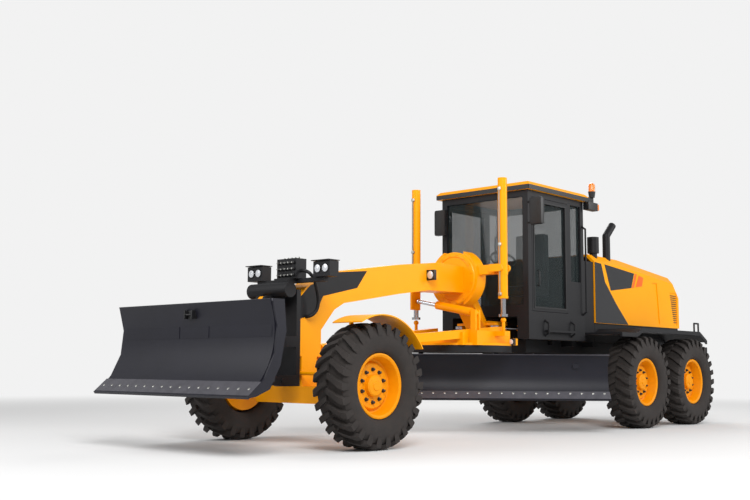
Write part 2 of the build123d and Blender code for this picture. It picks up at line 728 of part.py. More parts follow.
with BuildPart() as drawbar:
    with BuildSketch(Plane.XY.offset(CIRCLE_Z1 + RUN)):
        with Locations((CIRCLE_X, 0)):
            Circle(CIRCLE_R)
            Circle(CIRCLE_R - 2 * CIRCLE_WALL, mode=Mode.SUBTRACT)
    extrude(amount=PLATE_T)
    for side in (1, -1):
        hip = (REAR_BEAM_X, side * (DRAWBAR_W / 2 - SIDE_BEAM / 2), HIP_Z)
        nose = (SWIVEL_X - NOSE_L, side * SIDE_BEAM / 2, BALL_Z + NOSE_RISE)
        with BuildSketch(place(*nose, Vector(*hip) - Vector(*nose))):
            Rectangle(DRAWBAR_H, SIDE_BEAM)
        extrude(amount=(Vector(*hip) - Vector(*nose)).length)
        block(
            CIRCLE_X - SIDE_PLATE[0],
            CIRCLE_X + SIDE_PLATE[1],
            side * (DRAWBAR_W / 2 - SIDE_BEAM),
            side * (DRAWBAR_W / 2 + 20),
            CIRCLE_Z1 + RUN,
            DRAWBAR_Z + DRAWBAR_H / 2,
        )
        tube_between(
            (SADDLE_X, side * LIFT_Y, DRAWBAR_Z + DRAWBAR_H / 2 - 10),
            (SADDLE_X, side * LIFT_Y, LIFT_EYE_Z),
            STUD_NECK_R,
        )
        block(
            SADDLE_X - FOOT_R,
            SADDLE_X + FOOT_R,
            side * (DRAWBAR_W / 2),
            side * (LIFT_Y + FOOT_R),
            DRAWBAR_Z,
            DRAWBAR_Z + DRAWBAR_H / 2,
        )
        with Locations((SADDLE_X, side * LIFT_Y, LIFT_EYE_Z)):
            Sphere(LIFT_BALL_R)
        block(
            CIRCLE_X - SIDE_PLATE[0] - BLADE_LAMP,
            CIRCLE_X - SIDE_PLATE[0],
            side * (DRAWBAR_W / 2 - 10),
            side * (DRAWBAR_W / 2 + BLADE_LAMP - 10),
            CIRCLE_Z1 + 10,
            CIRCLE_Z1 + 10 + BLADE_LAMP,
        )
    for cross_x in (REAR_BEAM_X, CIRCLE_X + 520):
        block(
            cross_x - SIDE_BEAM / 2,
            cross_x + SIDE_BEAM / 2,
            -DRAWBAR_W / 2 + SIDE_BEAM,
            DRAWBAR_W / 2 - SIDE_BEAM,
            CIRCLE_Z1 + RUN,
            DRAWBAR_Z + BEAM_DROP,
        )
    block(
        SWIVEL_X - NOSE_L - 60,
        SWIVEL_X - NOSE_L + 20,
        -SIDE_BEAM,
        SIDE_BEAM,
        BALL_Z - FORK_H,
        BALL_Z + FORK_H,
    )
    for up in (1, -1):
        low = BALL_Z + up * (SWIVEL_LUG / 2 + RUN)
        high = BALL_Z + up * FORK_H
        block(SWIVEL_X - NOSE_L, SWIVEL_X, -NOSE_R, NOSE_R, low, high)
        tube_between((SWIVEL_X, 0, low), (SWIVEL_X, 0, high), NOSE_R)
    tube_between((SWIVEL_X, 0, BALL_Z - FORK_H), (SWIVEL_X, 0, BALL_Z + FORK_H), SWIVEL_R)
    block(
        SHIFT_X - SHIFT_R,
        SHIFT_X + SHIFT_R,
        SHIFT_PIN_Y - 40,
        SHIFT_PIN_Y + 40,
        DRAWBAR_Z,
        DRAWBAR_Z + DRAWBAR_H / 2,
    )
    for fore in (1, -1):
        block(
            SHIFT_X + fore * (SHIFT_EYE_T / 2 + RUN),
            SHIFT_X + fore * SHIFT_R,
            SHIFT_PIN_Y - 40,
            SHIFT_PIN_Y + 40,
            DRAWBAR_Z,
            SHIFT_PIN_Z + 40,
        )
    tube_between(
        (SHIFT_X - SHIFT_R, SHIFT_PIN_Y, SHIFT_PIN_Z),
        (SHIFT_X + SHIFT_R, SHIFT_PIN_Y, SHIFT_PIN_Z),
        SHIFT_PIN_R,
    )
save(drawbar.part, "drawbar")

# Circle: the toothed ring under the drawbar with the two hangers that carry the moldboard's rails.
HANGER_Y = 480
HANGER_T = 60
RAIL_Z = (560, 900)
RAIL_W = 60
RAIL_T = 50
BLADE_BACK = BLADE_FORWARD - BLADE_DEPTH
RAIL_X = BLADE_BACK - 60
HANGER_X = RAIL_X - RAIL_T / 2 - 60
SIDE_CYL_X = RAIL_X - 30
SIDE_CYL_Z = sum(RAIL_Z) / 2
SIDE_CYL_R = 50
turned = Location((CIRCLE_X, 0, 0), (0, 0, BLADE_ANGLE))
with BuildPart() as circle:
    with BuildSketch(Plane.XY.offset(CIRCLE_Z0)):
        Circle(CIRCLE_R)
        Circle(CIRCLE_R - CIRCLE_WALL, mode=Mode.SUBTRACT)
    extrude(amount=CIRCLE_Z1 - CIRCLE_Z0)
    tie_y = CIRCLE_R - CIRCLE_WALL + 10
    block(HANGER_X - 60, RAIL_X, -tie_y, tie_y, CIRCLE_Z0, CIRCLE_Z0 + 40)
    for side in (1, -1):
        y0 = side * HANGER_Y
        y1 = side * (HANGER_Y + HANGER_T)
        block(HANGER_X - 60, HANGER_X + 60, y0, y1, RAIL_Z[0] - RAIL_W, CIRCLE_Z0 + 40)
        for rail_z in RAIL_Z:
            block(HANGER_X, RAIL_X + RAIL_T, y0, y1, rail_z - RAIL_W, rail_z + RAIL_W)
            block(
                RAIL_X - RAIL_T / 2 - RUN,
                RAIL_X + 2 * RAIL_T,
                y0,
                y1,
                rail_z - RAIL_W / 2 - RUN,
                rail_z + RAIL_W / 2 + RUN,
                Mode.SUBTRACT,
            )
    with BuildSketch(place(SIDE_CYL_X, -HANGER_Y - HANGER_T, SIDE_CYL_Z, (0, 1, 0))):
        Circle(ROD_R + RUN)
    extrude(amount=2 * (HANGER_Y + HANGER_T), mode=Mode.SUBTRACT)
save(circle.part.moved(turned), "circle")

# Moldboard: a rolled blade with a cutting edge, two slide rails and the side shift rod on its back.
SIDE_ROD_END = 1500
SIDE_LUG = 60
mold_top = BLADE_BOTTOM + BLADE_H
with BuildPart() as moldboard:
    with BuildSketch(Plane.XZ):
        with BuildLine():
            front = ThreePointArc(
                (BLADE_FORWARD, BLADE_BOTTOM),
                (BLADE_BACK + BLADE_SKIN, BLADE_BOTTOM + BLADE_H * 0.55),
                (BLADE_FORWARD - 40, mold_top),
            )
            back = ThreePointArc(
                (BLADE_FORWARD - BLADE_SKIN, BLADE_BOTTOM),
                (BLADE_BACK, BLADE_BOTTOM + BLADE_H * 0.55),
                (BLADE_FORWARD - 40 - BLADE_SKIN, mold_top),
            )
            Line(front @ 0, back @ 0)
            Line(front @ 1, back @ 1)
        make_face()
    extrude(amount=BLADE_L / 2, both=True)
    for rail_z in RAIL_Z:
        rail = BLADE_L / 2 - 400
        block(
            RAIL_X - RAIL_T / 2, RAIL_X + RAIL_T / 2, -rail, rail, rail_z - RAIL_W / 2, rail_z + RAIL_W / 2
        )
        for k in (-1, 1):
            block(
                RAIL_X,
                BLADE_BACK + 60,
                k * rail,
                k * (rail - 80),
                rail_z - RAIL_W / 2,
                rail_z + RAIL_W / 2,
            )
    cutting_edge(front @ 0, front @ EDGE_SHARE, BLADE_L)
    tube_between(
        (SIDE_CYL_X, -SIDE_ROD_END, SIDE_CYL_Z), (SIDE_CYL_X, SIDE_ROD_END, SIDE_CYL_Z), ROD_R
    )
    for end in (-1, 1):
        block(
            SIDE_CYL_X - SIDE_LUG,
            BLADE_BACK + BLADE_SKIN,
            end * (SIDE_ROD_END - SIDE_LUG),
            end * SIDE_ROD_END,
            SIDE_CYL_Z - SIDE_LUG,
            SIDE_CYL_Z + SIDE_LUG,
        )
box = moldboard.part.bounding_box()
side_set = -(box.min.X + box.max.X) / 2 * tan(radians(BLADE_ANGLE))
save(moldboard.part.moved(Location((0, side_set, 0))).moved(turned), "moldboard")

# Side shift cylinder's barrel, clamped between the hangers, open at both ends for its through rod.
with BuildPart() as side_barrel:
    tube_between((SIDE_CYL_X, -HANGER_Y, SIDE_CYL_Z), (SIDE_CYL_X, HANGER_Y, SIDE_CYL_Z), SIDE_CYL_R)
    with BuildSketch(place(SIDE_CYL_X, -HANGER_Y, SIDE_CYL_Z, (0, 1, 0))):
        Circle(ROD_R + RUN)
    extrude(amount=2 * HANGER_Y, mode=Mode.SUBTRACT)
save(side_barrel.part.moved(turned), "side_shift_barrel")


# Centre shift cylinder: from the drawbar's left bracket up to a bearing pad on the front frame's right side.
SHIFT_BORE = 28
SHIFT_BARREL = (60, 650)
SHIFT_ROD_IN = 354
SHIFT_END_T = 12
shift_pin = Vector(SHIFT_X, SHIFT_PIN_Y, SHIFT_PIN_Z)
shift_tip = Vector(SHIFT_X, SHIFT_TIP_Y, SHIFT_TIP_Z)
shift_unit = (shift_tip - shift_pin).normalized()
eye_ends = [(SHIFT_X + fore * SHIFT_EYE_T / 2, SHIFT_PIN_Y, SHIFT_PIN_Z) for fore in (-1, 1)]
with BuildPart() as shift_barrel:
    tube_between(
        tuple(shift_pin + shift_unit * SHIFT_BARREL[0]),
        tuple(shift_pin + shift_unit * SHIFT_BARREL[1]),
        SHIFT_R,
    )
    tube_between(*eye_ends, SHIFT_EYE_R)
    tube_between(
        tuple(shift_pin), tuple(shift_pin + shift_unit * (SHIFT_BARREL[0] + GAP)), SHIFT_EYE_T / 2 - 1
    )
    with BuildSketch(place(*(shift_pin + shift_unit * (SHIFT_BARREL[0] + SHIFT_END_T)), shift_unit)):
        Circle(SHIFT_BORE + RUN)
    extrude(amount=SHIFT_BARREL[1], mode=Mode.SUBTRACT)
    with BuildSketch(Plane.YZ.offset(SHIFT_X - SHIFT_EYE_T / 2)):
        with Locations((SHIFT_PIN_Y, SHIFT_PIN_Z)):
            Circle(SHIFT_PIN_R + RUN)
    extrude(amount=SHIFT_EYE_T, mode=Mode.SUBTRACT)
save(shift_barrel.part, "shift_barrel")
with BuildPart() as shift_rod:
    tube_between(tuple(shift_pin + shift_unit * SHIFT_ROD_IN), tuple(shift_tip), SHIFT_BORE)
    with Locations(shift_tip):
        Sphere(SHIFT_TIP_R)
save(shift_rod.part, "shift_rod")

# Dozer carrier: the upright plate on the frame's nose with ears for two lower arms and two upper links.
EAR_IN = ARM_Y - ARM_T / 2 - RUN - 40
DOZER_PIN_R = 25
ARM_W = 110
LINK_W = 80
DOZER_TOP = DOZER_BOTTOM + DOZER_H
CYL_TOP_Z = 1600
CROSS_SHARE = 0.55
ROLL_X = AXLE_X + 450
ROLL_Z = 1720
ROLL_R = 85
ROLL_HALF = 320
LAMP_BAR_Z = 1870
LAMP_Y = 556
LAMP_W = 260
# The post, its foot, the cross bar and the valve block. Columns: low x, high x, half width, low z, high z.
LAMP_STAND = (
    (240, 240 + UPRIGHT_T, 120, UPRIGHT_TOP - 10, LAMP_BAR_Z),
    (100, 240 + UPRIGHT_T, 120, LAMP_BAR_Z - 50, LAMP_BAR_Z),
    (100, 170, LAMP_Y, LAMP_BAR_Z - 50, LAMP_BAR_Z),
    (60, 220, 160, LAMP_BAR_Z - 1, LAMP_BAR_Z + 230),
)
upright_face = AXLE_X + 240
with BuildPart() as dozer_upright:
    block(upright_face, upright_face + UPRIGHT_T, -EAR_IN - 40, EAR_IN + 40, ARM_REAR_Z - 60, UPRIGHT_TOP)
    for side in (1, -1):
        for pin_z in (ARM_REAR_Z, ARM_REAR_Z + LINK_RISE):
            block(upright_face, ARM_REAR_X, side * EAR_IN, side * (EAR_IN + 40), pin_z - 60, pin_z + 60)
            round_y(ARM_REAR_X, pin_z, 60, side * EAR_IN, side * (EAR_IN + 40))
            round_y(ARM_REAR_X, pin_z, DOZER_PIN_R, side * EAR_IN, side * (ARM_Y + ARM_T / 2 + 15))
        block(upright_face, ARM_REAR_X, side * 40.5, side * 75, CYL_TOP_Z - 60, CYL_TOP_Z + 60)
        round_y(ARM_REAR_X, CYL_TOP_Z, 60, side * 40.5, side * 75)
    round_y(ARM_REAR_X, CYL_TOP_Z, DOZER_PIN_R, -75, 75)
    round_y(ROLL_X, ROLL_Z, ROLL_R, -ROLL_HALF, ROLL_HALF)
    for side in (1, -1):
        block(
            upright_face, ROLL_X, side * (EAR_IN - 10), side * (EAR_IN + 20), UPRIGHT_TOP - 50, UPRIGHT_TOP
        )
    for x0, x1, half_width, z0, z1 in LAMP_STAND:
        block(AXLE_X + x0, AXLE_X + x1, -half_width, half_width, z0, z1)
    for side in (1, -1):
        inner_y = side * (LAMP_Y - LAMP_W / 2)
        outer_y = side * (LAMP_Y + LAMP_W / 2)
        block(AXLE_X + 70, AXLE_X + 210, inner_y, outer_y, LAMP_BAR_Z - 1, LAMP_BAR_Z + 170)
save(dozer_upright.part, "dozer_upright")

arm_rear = (ARM_REAR_X, ARM_REAR_Z)
arm_front = (ARM_REAR_X + LINK_SPAN_X, ARM_REAR_Z + LINK_SPAN_Z)
link_rear = (ARM_REAR_X, ARM_REAR_Z + LINK_RISE)
link_front = (ARM_REAR_X + LINK_SPAN_X, ARM_REAR_Z + LINK_SPAN_Z + LINK_RISE)
cross = (ARM_REAR_X + CROSS_SHARE * LINK_SPAN_X, ARM_REAR_Z + CROSS_SHARE * LINK_SPAN_Z)
with BuildPart() as dozer_arms:
    for side in (1, -1):
        bar_plate(
            arm_rear, arm_front, ARM_W, DOZER_PIN_R + RUN, side * ARM_Y - ARM_T / 2, side * ARM_Y + ARM_T / 2
        )
    round_y(*cross, 40, -ARM_Y, ARM_Y)
save(dozer_arms.part, "dozer_arms")
with BuildPart() as dozer_links:
    for side in (1, -1):
        bar_plate(
            link_rear,
            link_front,
            LINK_W,
            DOZER_PIN_R + RUN,
            side * ARM_Y - ARM_T / 2,
            side * ARM_Y + ARM_T / 2,
        )
save(dozer_links.part, "dozer_links")

cyl_top = Vector(ARM_REAR_X, 0, CYL_TOP_Z)
cyl_low = Vector(cross[0], 0, cross[1])
cyl_unit = (cyl_low - cyl_top).normalized()
with BuildPart() as dozer_barrel:
    tube_between(tuple(cyl_top + cyl_unit * 80), tuple(cyl_top + cyl_unit * 600), 55)
    tube_between(tuple(cyl_top), tuple(cyl_top + cyl_unit * 82), 36)
    round_y(ARM_REAR_X, CYL_TOP_Z, 52, -40, 40)
    round_y(ARM_REAR_X, CYL_TOP_Z, DOZER_PIN_R + RUN, -40, 40, Mode.SUBTRACT)
    with BuildSketch(place(*(cyl_top + cyl_unit * 90), cyl_unit)):
        Circle(28 + RUN)
    extrude(amount=600, mode=Mode.SUBTRACT)
save(dozer_barrel.part, "dozer_barrel")
with BuildPart() as dozer_rod:
    tube_between(tuple(cyl_top + cyl_unit * 250), tuple(cyl_low - cyl_unit * 65), 28)
    round_y(*cross, 90, -35, 35)
    round_y(*cross, 66, -35, 35, Mode.SUBTRACT)
save(dozer_rod.part, "dozer_rod")

# Dozer blade: a rolled blade that leans back, with end plates, back ribs and pin brackets.
blade_tip = AXLE_X + DOZER_REACH
CHEEK_PLATE_T = 20
# Back edge of the end plates from the top down. Columns: x from the blade's tip, z.
CHEEK_BACK = ((-440, DOZER_TOP), (-470, 1220), (-400, 890), (-270, 660), (-90, 590))
with BuildPart() as dozer_blade:
    with BuildSketch(Plane.XZ):
        with BuildLine():
            face = ThreePointArc(
                (blade_tip, DOZER_BOTTOM),
                (blade_tip - DOZER_LEAN, DOZER_BOTTOM + DOZER_H * 0.45),
                (blade_tip - DOZER_LEAN + 40, DOZER_TOP),
            )
            rear = ThreePointArc(
                (blade_tip - DOZER_SKIN, DOZER_BOTTOM),
                (blade_tip - DOZER_LEAN - DOZER_SKIN, DOZER_BOTTOM + DOZER_H * 0.45),
                (blade_tip - DOZER_LEAN + 40 - DOZER_SKIN, DOZER_TOP),
            )
            Line(face @ 0, rear @ 0)
            Line(face @ 1, rear @ 1)
        make_face()
    extrude(amount=DOZER_W / 2, both=True)
    front_edge = [face @ (k / 4) for k in range(5)]
    cheek = [(point.X, point.Y) for point in front_edge] + [(blade_tip + x, z) for x, z in CHEEK_BACK]
    for side in (1, -1):
        side_profile(cheek, CHEEK_PLATE_T, side * (DOZER_W - CHEEK_PLATE_T) / 2)
    cutting_edge(face @ 0, face @ EDGE_SHARE, DOZER_W)
    back_x = blade_tip - DOZER_LEAN
    for z0, reach in ((arm_front[1] - 60, 60), (link_front[1] - 60, -10)):
        for side in (1, -1):
            block(arm_front[0], back_x - 5, side * EAR_IN, side * (EAR_IN + 40), z0, z0 + 120)
            round_y(arm_front[0], z0 + 60, 60, side * EAR_IN, side * (EAR_IN + 40))
            round_y(arm_front[0], z0 + 60, DOZER_PIN_R, side * EAR_IN, side * (ARM_Y + ARM_T / 2 + 15))
        block(back_x - 60, back_x + reach, -DOZER_W / 2 + 60, DOZER_W / 2 - 60, z0, z0 + 120)
save(dozer_blade.part, "dozer_blade")


# Rear frame: two rails, a bulkhead with the articulation ears, cross members and the engine bay sills.
SILL_Y = 560
SILL_T = 40
BULK_X = PIVOT_X - 200
BULK_T = 200
REAR_X = AXLE_X - REAR_REACH
BUMPER_T = 160
SKIRT_IN = 560
TAIL_HALF = 930
TAIL_Z = (960, 1240)
with BuildPart() as rear_frame:
    for side in (1, -1):
        block(
            REAR_X + BUMPER_T, BULK_X, side * (FRAME_W / 2 - RAIL_T), side * FRAME_W / 2, FRAME_Z0, FRAME_Z1
        )
        block(
            HOOD_REAR_X + 20,
            HOOD_FRONT_X,
            side * (SILL_Y - SILL_T),
            side * SILL_Y,
            FRAME_Z1,
            HOOD_BOTTOM - RUN,
        )
        for up in (1, -1):
            block(
                REAR_LUG_X - 60,
                REAR_LUG_X + 50,
                side * REAR_LUG_Y - 50,
                side * REAR_LUG_Y + 50,
                HITCH_CYL_Z + up * HITCH_EAR_IN,
                HITCH_CYL_Z + up * (HITCH_EAR_IN + HITCH_EAR_T),
            )
        block(
            REAR_LUG_X - 120,
            REAR_LUG_X - 60,
            side * REAR_LUG_Y - 50,
            side * REAR_LUG_Y + 50,
            FRAME_Z1 - 60,
            HITCH_CYL_Z + HITCH_EAR_IN + HITCH_EAR_T,
        )
        tube_between(
            (REAR_LUG_X, side * REAR_LUG_Y, HITCH_CYL_Z - 50),
            (REAR_LUG_X, side * REAR_LUG_Y, HITCH_CYL_Z + 50),
            20,
        )
    block(BULK_X - BULK_T, BULK_X, -FRAME_W / 2, FRAME_W / 2, FRAME_Z0, FRAME_Z1)
    block(BULK_X - BULK_T, BULK_X, -190, 190, FRAME_Z1, PIVOT_Z1)
    for ear_z in (PIVOT_Z0, PIVOT_Z1 - LUG_T):
        block(PIVOT_X, BULK_X, -LUG_R, LUG_R, ear_z, ear_z + LUG_T)
        tube_between((PIVOT_X, 0, ear_z), (PIVOT_X, 0, ear_z + LUG_T), LUG_R)
    tube_between((PIVOT_X, 0, PIVOT_Z0), (PIVOT_X, 0, PIVOT_Z1), PIVOT_R)
    for cross_x in (CAB_REAR_X, HOOD_FRONT_X, HOOD_REAR_X + 40):
        block(cross_x - 60, cross_x + 60, -SILL_Y, SILL_Y, FRAME_Z1 - 80, FRAME_Z1)
    block(REAR_X, REAR_X + BUMPER_T, -HOOD_W / 2, HOOD_W / 2, FRAME_Z0 - 60, HOOD_BOTTOM - 80)
    block(REAR_X, REAR_X + BUMPER_T, -TAIL_HALF, TAIL_HALF, *TAIL_Z)
save(rear_frame.part, "rear_frame")

# Articulation cylinders between the rear frame and the front frame's lugs; the rod's ring is wide for drift.
HITCH_BARREL = (72, 640)
HITCH_ROD = (340, 52)
HITCH_R = 45
HITCH_ROD_R = 24
HITCH_EYE_R = 46
HITCH_EYE_H = 44
HITCH_PIN_R = 20
HITCH_BORE_IN = 90
RING_R = 68
RING_BORE_R = 50
RING_H = 40
for side_name, side in (("left", 1), ("right", -1)):
    base = Vector(REAR_LUG_X, side * REAR_LUG_Y, HITCH_CYL_Z)
    tip = Vector(FRONT_LUG_X, side * FRONT_LUG_Y, HITCH_CYL_Z)
    unit = (tip - base).normalized()
    with BuildPart() as hitch_barrel:
        tube_between(tuple(base + unit * HITCH_BARREL[0]), tuple(base + unit * HITCH_BARREL[1]), HITCH_R)
        round_z(base.X, base.Y, HITCH_EYE_R, base.Z, HITCH_EYE_H)
        tube_between(tuple(base), tuple(base + unit * (HITCH_BARREL[0] + 2)), HITCH_EYE_H / 2 - 1)
        round_z(base.X, base.Y, HITCH_PIN_R + RUN, base.Z, HITCH_EYE_H, Mode.SUBTRACT)
        with BuildSketch(place(*(base + unit * HITCH_BORE_IN), unit)):
            Circle(HITCH_ROD_R + RUN)
        extrude(amount=HITCH_BARREL[1], mode=Mode.SUBTRACT)
    save(hitch_barrel.part, "hitch_barrel_" + side_name)
    with BuildPart() as hitch_rod:
        tube_between(tuple(base + unit * HITCH_ROD[0]), tuple(tip - unit * HITCH_ROD[1]), HITCH_ROD_R)
        round_z(tip.X, tip.Y, RING_R, tip.Z, RING_H)
        round_z(tip.X, tip.Y, RING_BORE_R, tip.Z, RING_H, Mode.SUBTRACT)
    save(hitch_rod.part, "hitch_rod_" + side_name)

# Tandem drive: one axle housing with a chain case on each side that carries two wheel spindles.
CASE_Y0 = 700
CASE_Y1 = 880
CASE_H = 250
CASE_X = TANDEM_X - TANDEM_PITCH / 2
HOUSING = 170
with BuildPart() as tandems:
    round_y(CASE_X, TYRE_R, HOUSING, -CASE_Y0 - 10, CASE_Y0 + 10)
    for side in (1, -1):
        y0 = min(side * CASE_Y0, side * CASE_Y1)
        with BuildSketch(Plane.XZ.offset(-y0)) as case:
            with Locations((CASE_X, TYRE_R)):
                SlotCenterToCenter(TANDEM_PITCH, CASE_H)
        extrude(amount=-(CASE_Y1 - CASE_Y0))
        block(
            CASE_X - HOUSING,
            CASE_X + HOUSING,
            side * (FRAME_W / 2 - RAIL_T),
            side * FRAME_W / 2,
            TYRE_R,
            FRAME_Z0,
        )
        hub_y = side * (TRACK_REAR / 2 + TYRE_W / 2 - TYRE_CORNER - DISC_SET - RUN)
        for wheel_x in (TANDEM_X, TANDEM_X - TANDEM_PITCH):
            round_y(
                wheel_x,
                TYRE_R,
                SPINDLE_R,
                min(side * CASE_Y1 - side, hub_y),
                max(side * CASE_Y1 - side, hub_y),
            )
save(tandems.part, "tandems")

# Engine, radiator and the tower between cab and hood with the exhaust and air intake.
ENGINE = (HOOD_FRONT_X - 350, HOOD_FRONT_X - 1750, FRAME_W / 2 - RAIL_T - RUN, 1140, 2000)
RADIATOR = (HOOD_REAR_X + 330, HOOD_REAR_X + 180, 470, FRAME_Z1, 2030)
with BuildPart() as engine:
    block(ENGINE[1], ENGINE[0], -ENGINE[2], ENGINE[2], ENGINE[3], ENGINE[4])
    block(RADIATOR[1], RADIATOR[0], -RADIATOR[2], RADIATOR[2], RADIATOR[3], RADIATOR[4])
save(engine.part, "engine")
TOWER_TOP = 2490
EXHAUST = (AXLE_X - 6240, 450, 2960)
EXHAUST_TIP = (AXLE_X - 6440, 450, 3150)
EXHAUST_R = 60
CLEANER = (AXLE_X - 5830, 450)
CLEANER_R = 90
CLEANER_NECK_R = 60
CLEANER_TOP = 2900
CLEANER_LOW = 2650
STACK_FOOT = (2400, 2440)
with BuildPart() as tower:
    block(HOOD_FRONT_X + GAP, CAB_REAR_X - 60, -SILL_Y, SILL_Y, FRAME_Z1, TOWER_TOP)
save(tower.part, "tower")
with BuildPart() as stacks:
    tube_between((*EXHAUST[:2], STACK_FOOT[0]), EXHAUST, EXHAUST_R)
    with Locations(EXHAUST):
        Sphere(EXHAUST_R)
    tube_between(EXHAUST, EXHAUST_TIP, EXHAUST_R)
    tube_between((*CLEANER, STACK_FOOT[0]), (*CLEANER, CLEANER_LOW + 10), CLEANER_NECK_R)
    tube_between((*CLEANER, CLEANER_LOW), (*CLEANER, CLEANER_TOP), CLEANER_R)
    block(EXHAUST[0], CLEANER[0], CLEANER[1] - CLEANER_NECK_R, CLEANER[1] + CLEANER_NECK_R, *STACK_FOOT)
save(stacks.part, "stacks")

# Hood: one tapered shell with bevelled upper edges that tilts back about its rear lower edge.
# Recess columns: top front x, top rear x, top z, bottom rear x, bottom front x, bottom z.
HOOD_RECESSES = (
    (AXLE_X - 7500, AXLE_X - 7660, 2290, AXLE_X - 7740, AXLE_X - 7590, 1610),
    (AXLE_X - 8110, AXLE_X - 8380, 2160, AXLE_X - 8380, AXLE_X - 8250, 1610),
)
RECESS_DEPTH = 12


def hood_form(inset):
    """Closed form of the hood, drawn in by the inset on all sides but the open front and bottom."""
    corners = [
        (HOOD_FRONT_X, HOOD_BOTTOM),
        (HOOD_FRONT_X, HOOD_TOP_FRONT - inset),
        (HOOD_FRONT_X - HOOD_KNEE, HOOD_TOP_FRONT - HOOD_KNEE_DROP - inset),
        (HOOD_REAR_X + HOOD_TAIL_L, HOOD_TOP_REAR - inset),
        (HOOD_REAR_X + inset, HOOD_TOP_REAR - HOOD_TAIL_DROP - inset),
        (HOOD_REAR_X + inset, HOOD_BOTTOM),
    ]
    wall_y = HOOD_W / 2 - inset
    with BuildPart() as form:
        side_profile(corners, 2 * wall_y)
        sides = form.edges().filter_by(lambda edge: abs(abs(edge.center().Y) - wall_y) < 1)
        chamfer(
            sides.filter_by(lambda edge: edge.center().Z > HOOD_TOP_REAR - HOOD_TAIL_DROP - inset),
            HOOD_BEVEL,
        )
    return form.part


with BuildPart() as hood:
    add(hood_form(0))
    add(hood_form(HOOD_SKIN), mode=Mode.SUBTRACT)
    for side in (1, -1):
        for top_front, top_rear, top_z, low_rear, low_front, low_z in HOOD_RECESSES:
            with BuildSketch(Plane.XZ.offset(-side * HOOD_W / 2)) as recess:
                with BuildLine():
                    Polyline(
                        (top_front, top_z),
                        (top_rear, top_z),
                        (low_rear, low_z),
                        (low_front, low_z),
                        close=True,
                    )
                make_face()
            extrude(recess.sketch, amount=RECESS_DEPTH, both=True, mode=Mode.SUBTRACT)
    with BuildSketch(Plane.XY.offset(STACK_FOOT[1])) as holes:
        with Locations(EXHAUST[:2]):
            Circle(EXHAUST_R + RUN)
        with Locations(CLEANER):
            Circle(CLEANER_NECK_R + RUN)
    extrude(holes.sketch, amount=HOOD_TOP_FRONT - STACK_FOOT[1], mode=Mode.SUBTRACT)
save(hood.part, "hood")

# Cab: a hollow shell on a floor with window and door openings, its roof, doors, glass and seat.
DOOR_FRONT_X = CAB_FRONT_X - PILLAR
DOOR_REAR_X = CAB_FRONT_X - 1010
DOOR_Z0 = CAB_FLOOR + 30
DOOR_Z1 = CAB_TOP - PILLAR
FLOOR_T = 40
GLASS_T = 8
WINDOW_Z0 = CAB_FLOOR + 120
half = CAB_W / 2
# Columns: low x, high x, low y, high y, low z, high z.
CUTS = (
    (CAB_FRONT_X - CAB_WALL, CAB_FRONT_X, -half + PILLAR, half - PILLAR, WINDOW_Z0, DOOR_Z1),
    (CAB_REAR_X, CAB_REAR_X + CAB_WALL, -half + PILLAR, half - PILLAR, CAB_FLOOR + 900, DOOR_Z1),
    (CAB_REAR_X + PILLAR, DOOR_REAR_X - PILLAR, -half, half, CAB_FLOOR + 500, DOOR_Z1),
    (DOOR_REAR_X, DOOR_FRONT_X, -half, half, DOOR_Z0, DOOR_Z1),
)
# Mirror columns: x, y, z of its centre; its size is thickness, width, height.
MIRRORS = (
    (CAB_FRONT_X + 80, half + 200, 3000),
    (CAB_FRONT_X + 130, -half + 80, 2970),
)
MIRROR = (50, 190, 360)
CAB_TUBE_R = 14
RAIL_OUT = half + 60
RAIL_RISE = 50
STEP_X = (CAB_FRONT_X - 400, CAB_FRONT_X - 1080)
STEP_Z = 1370
STEP_W = 70
# Handrail columns: x, low z, high z.
HANDRAILS = (
    (CAB_REAR_X + 45, 1640, 2960),
    (STEP_X[0], STEP_Z - 60, 1540),
    (STEP_X[1], STEP_Z - 60, 1540),
)
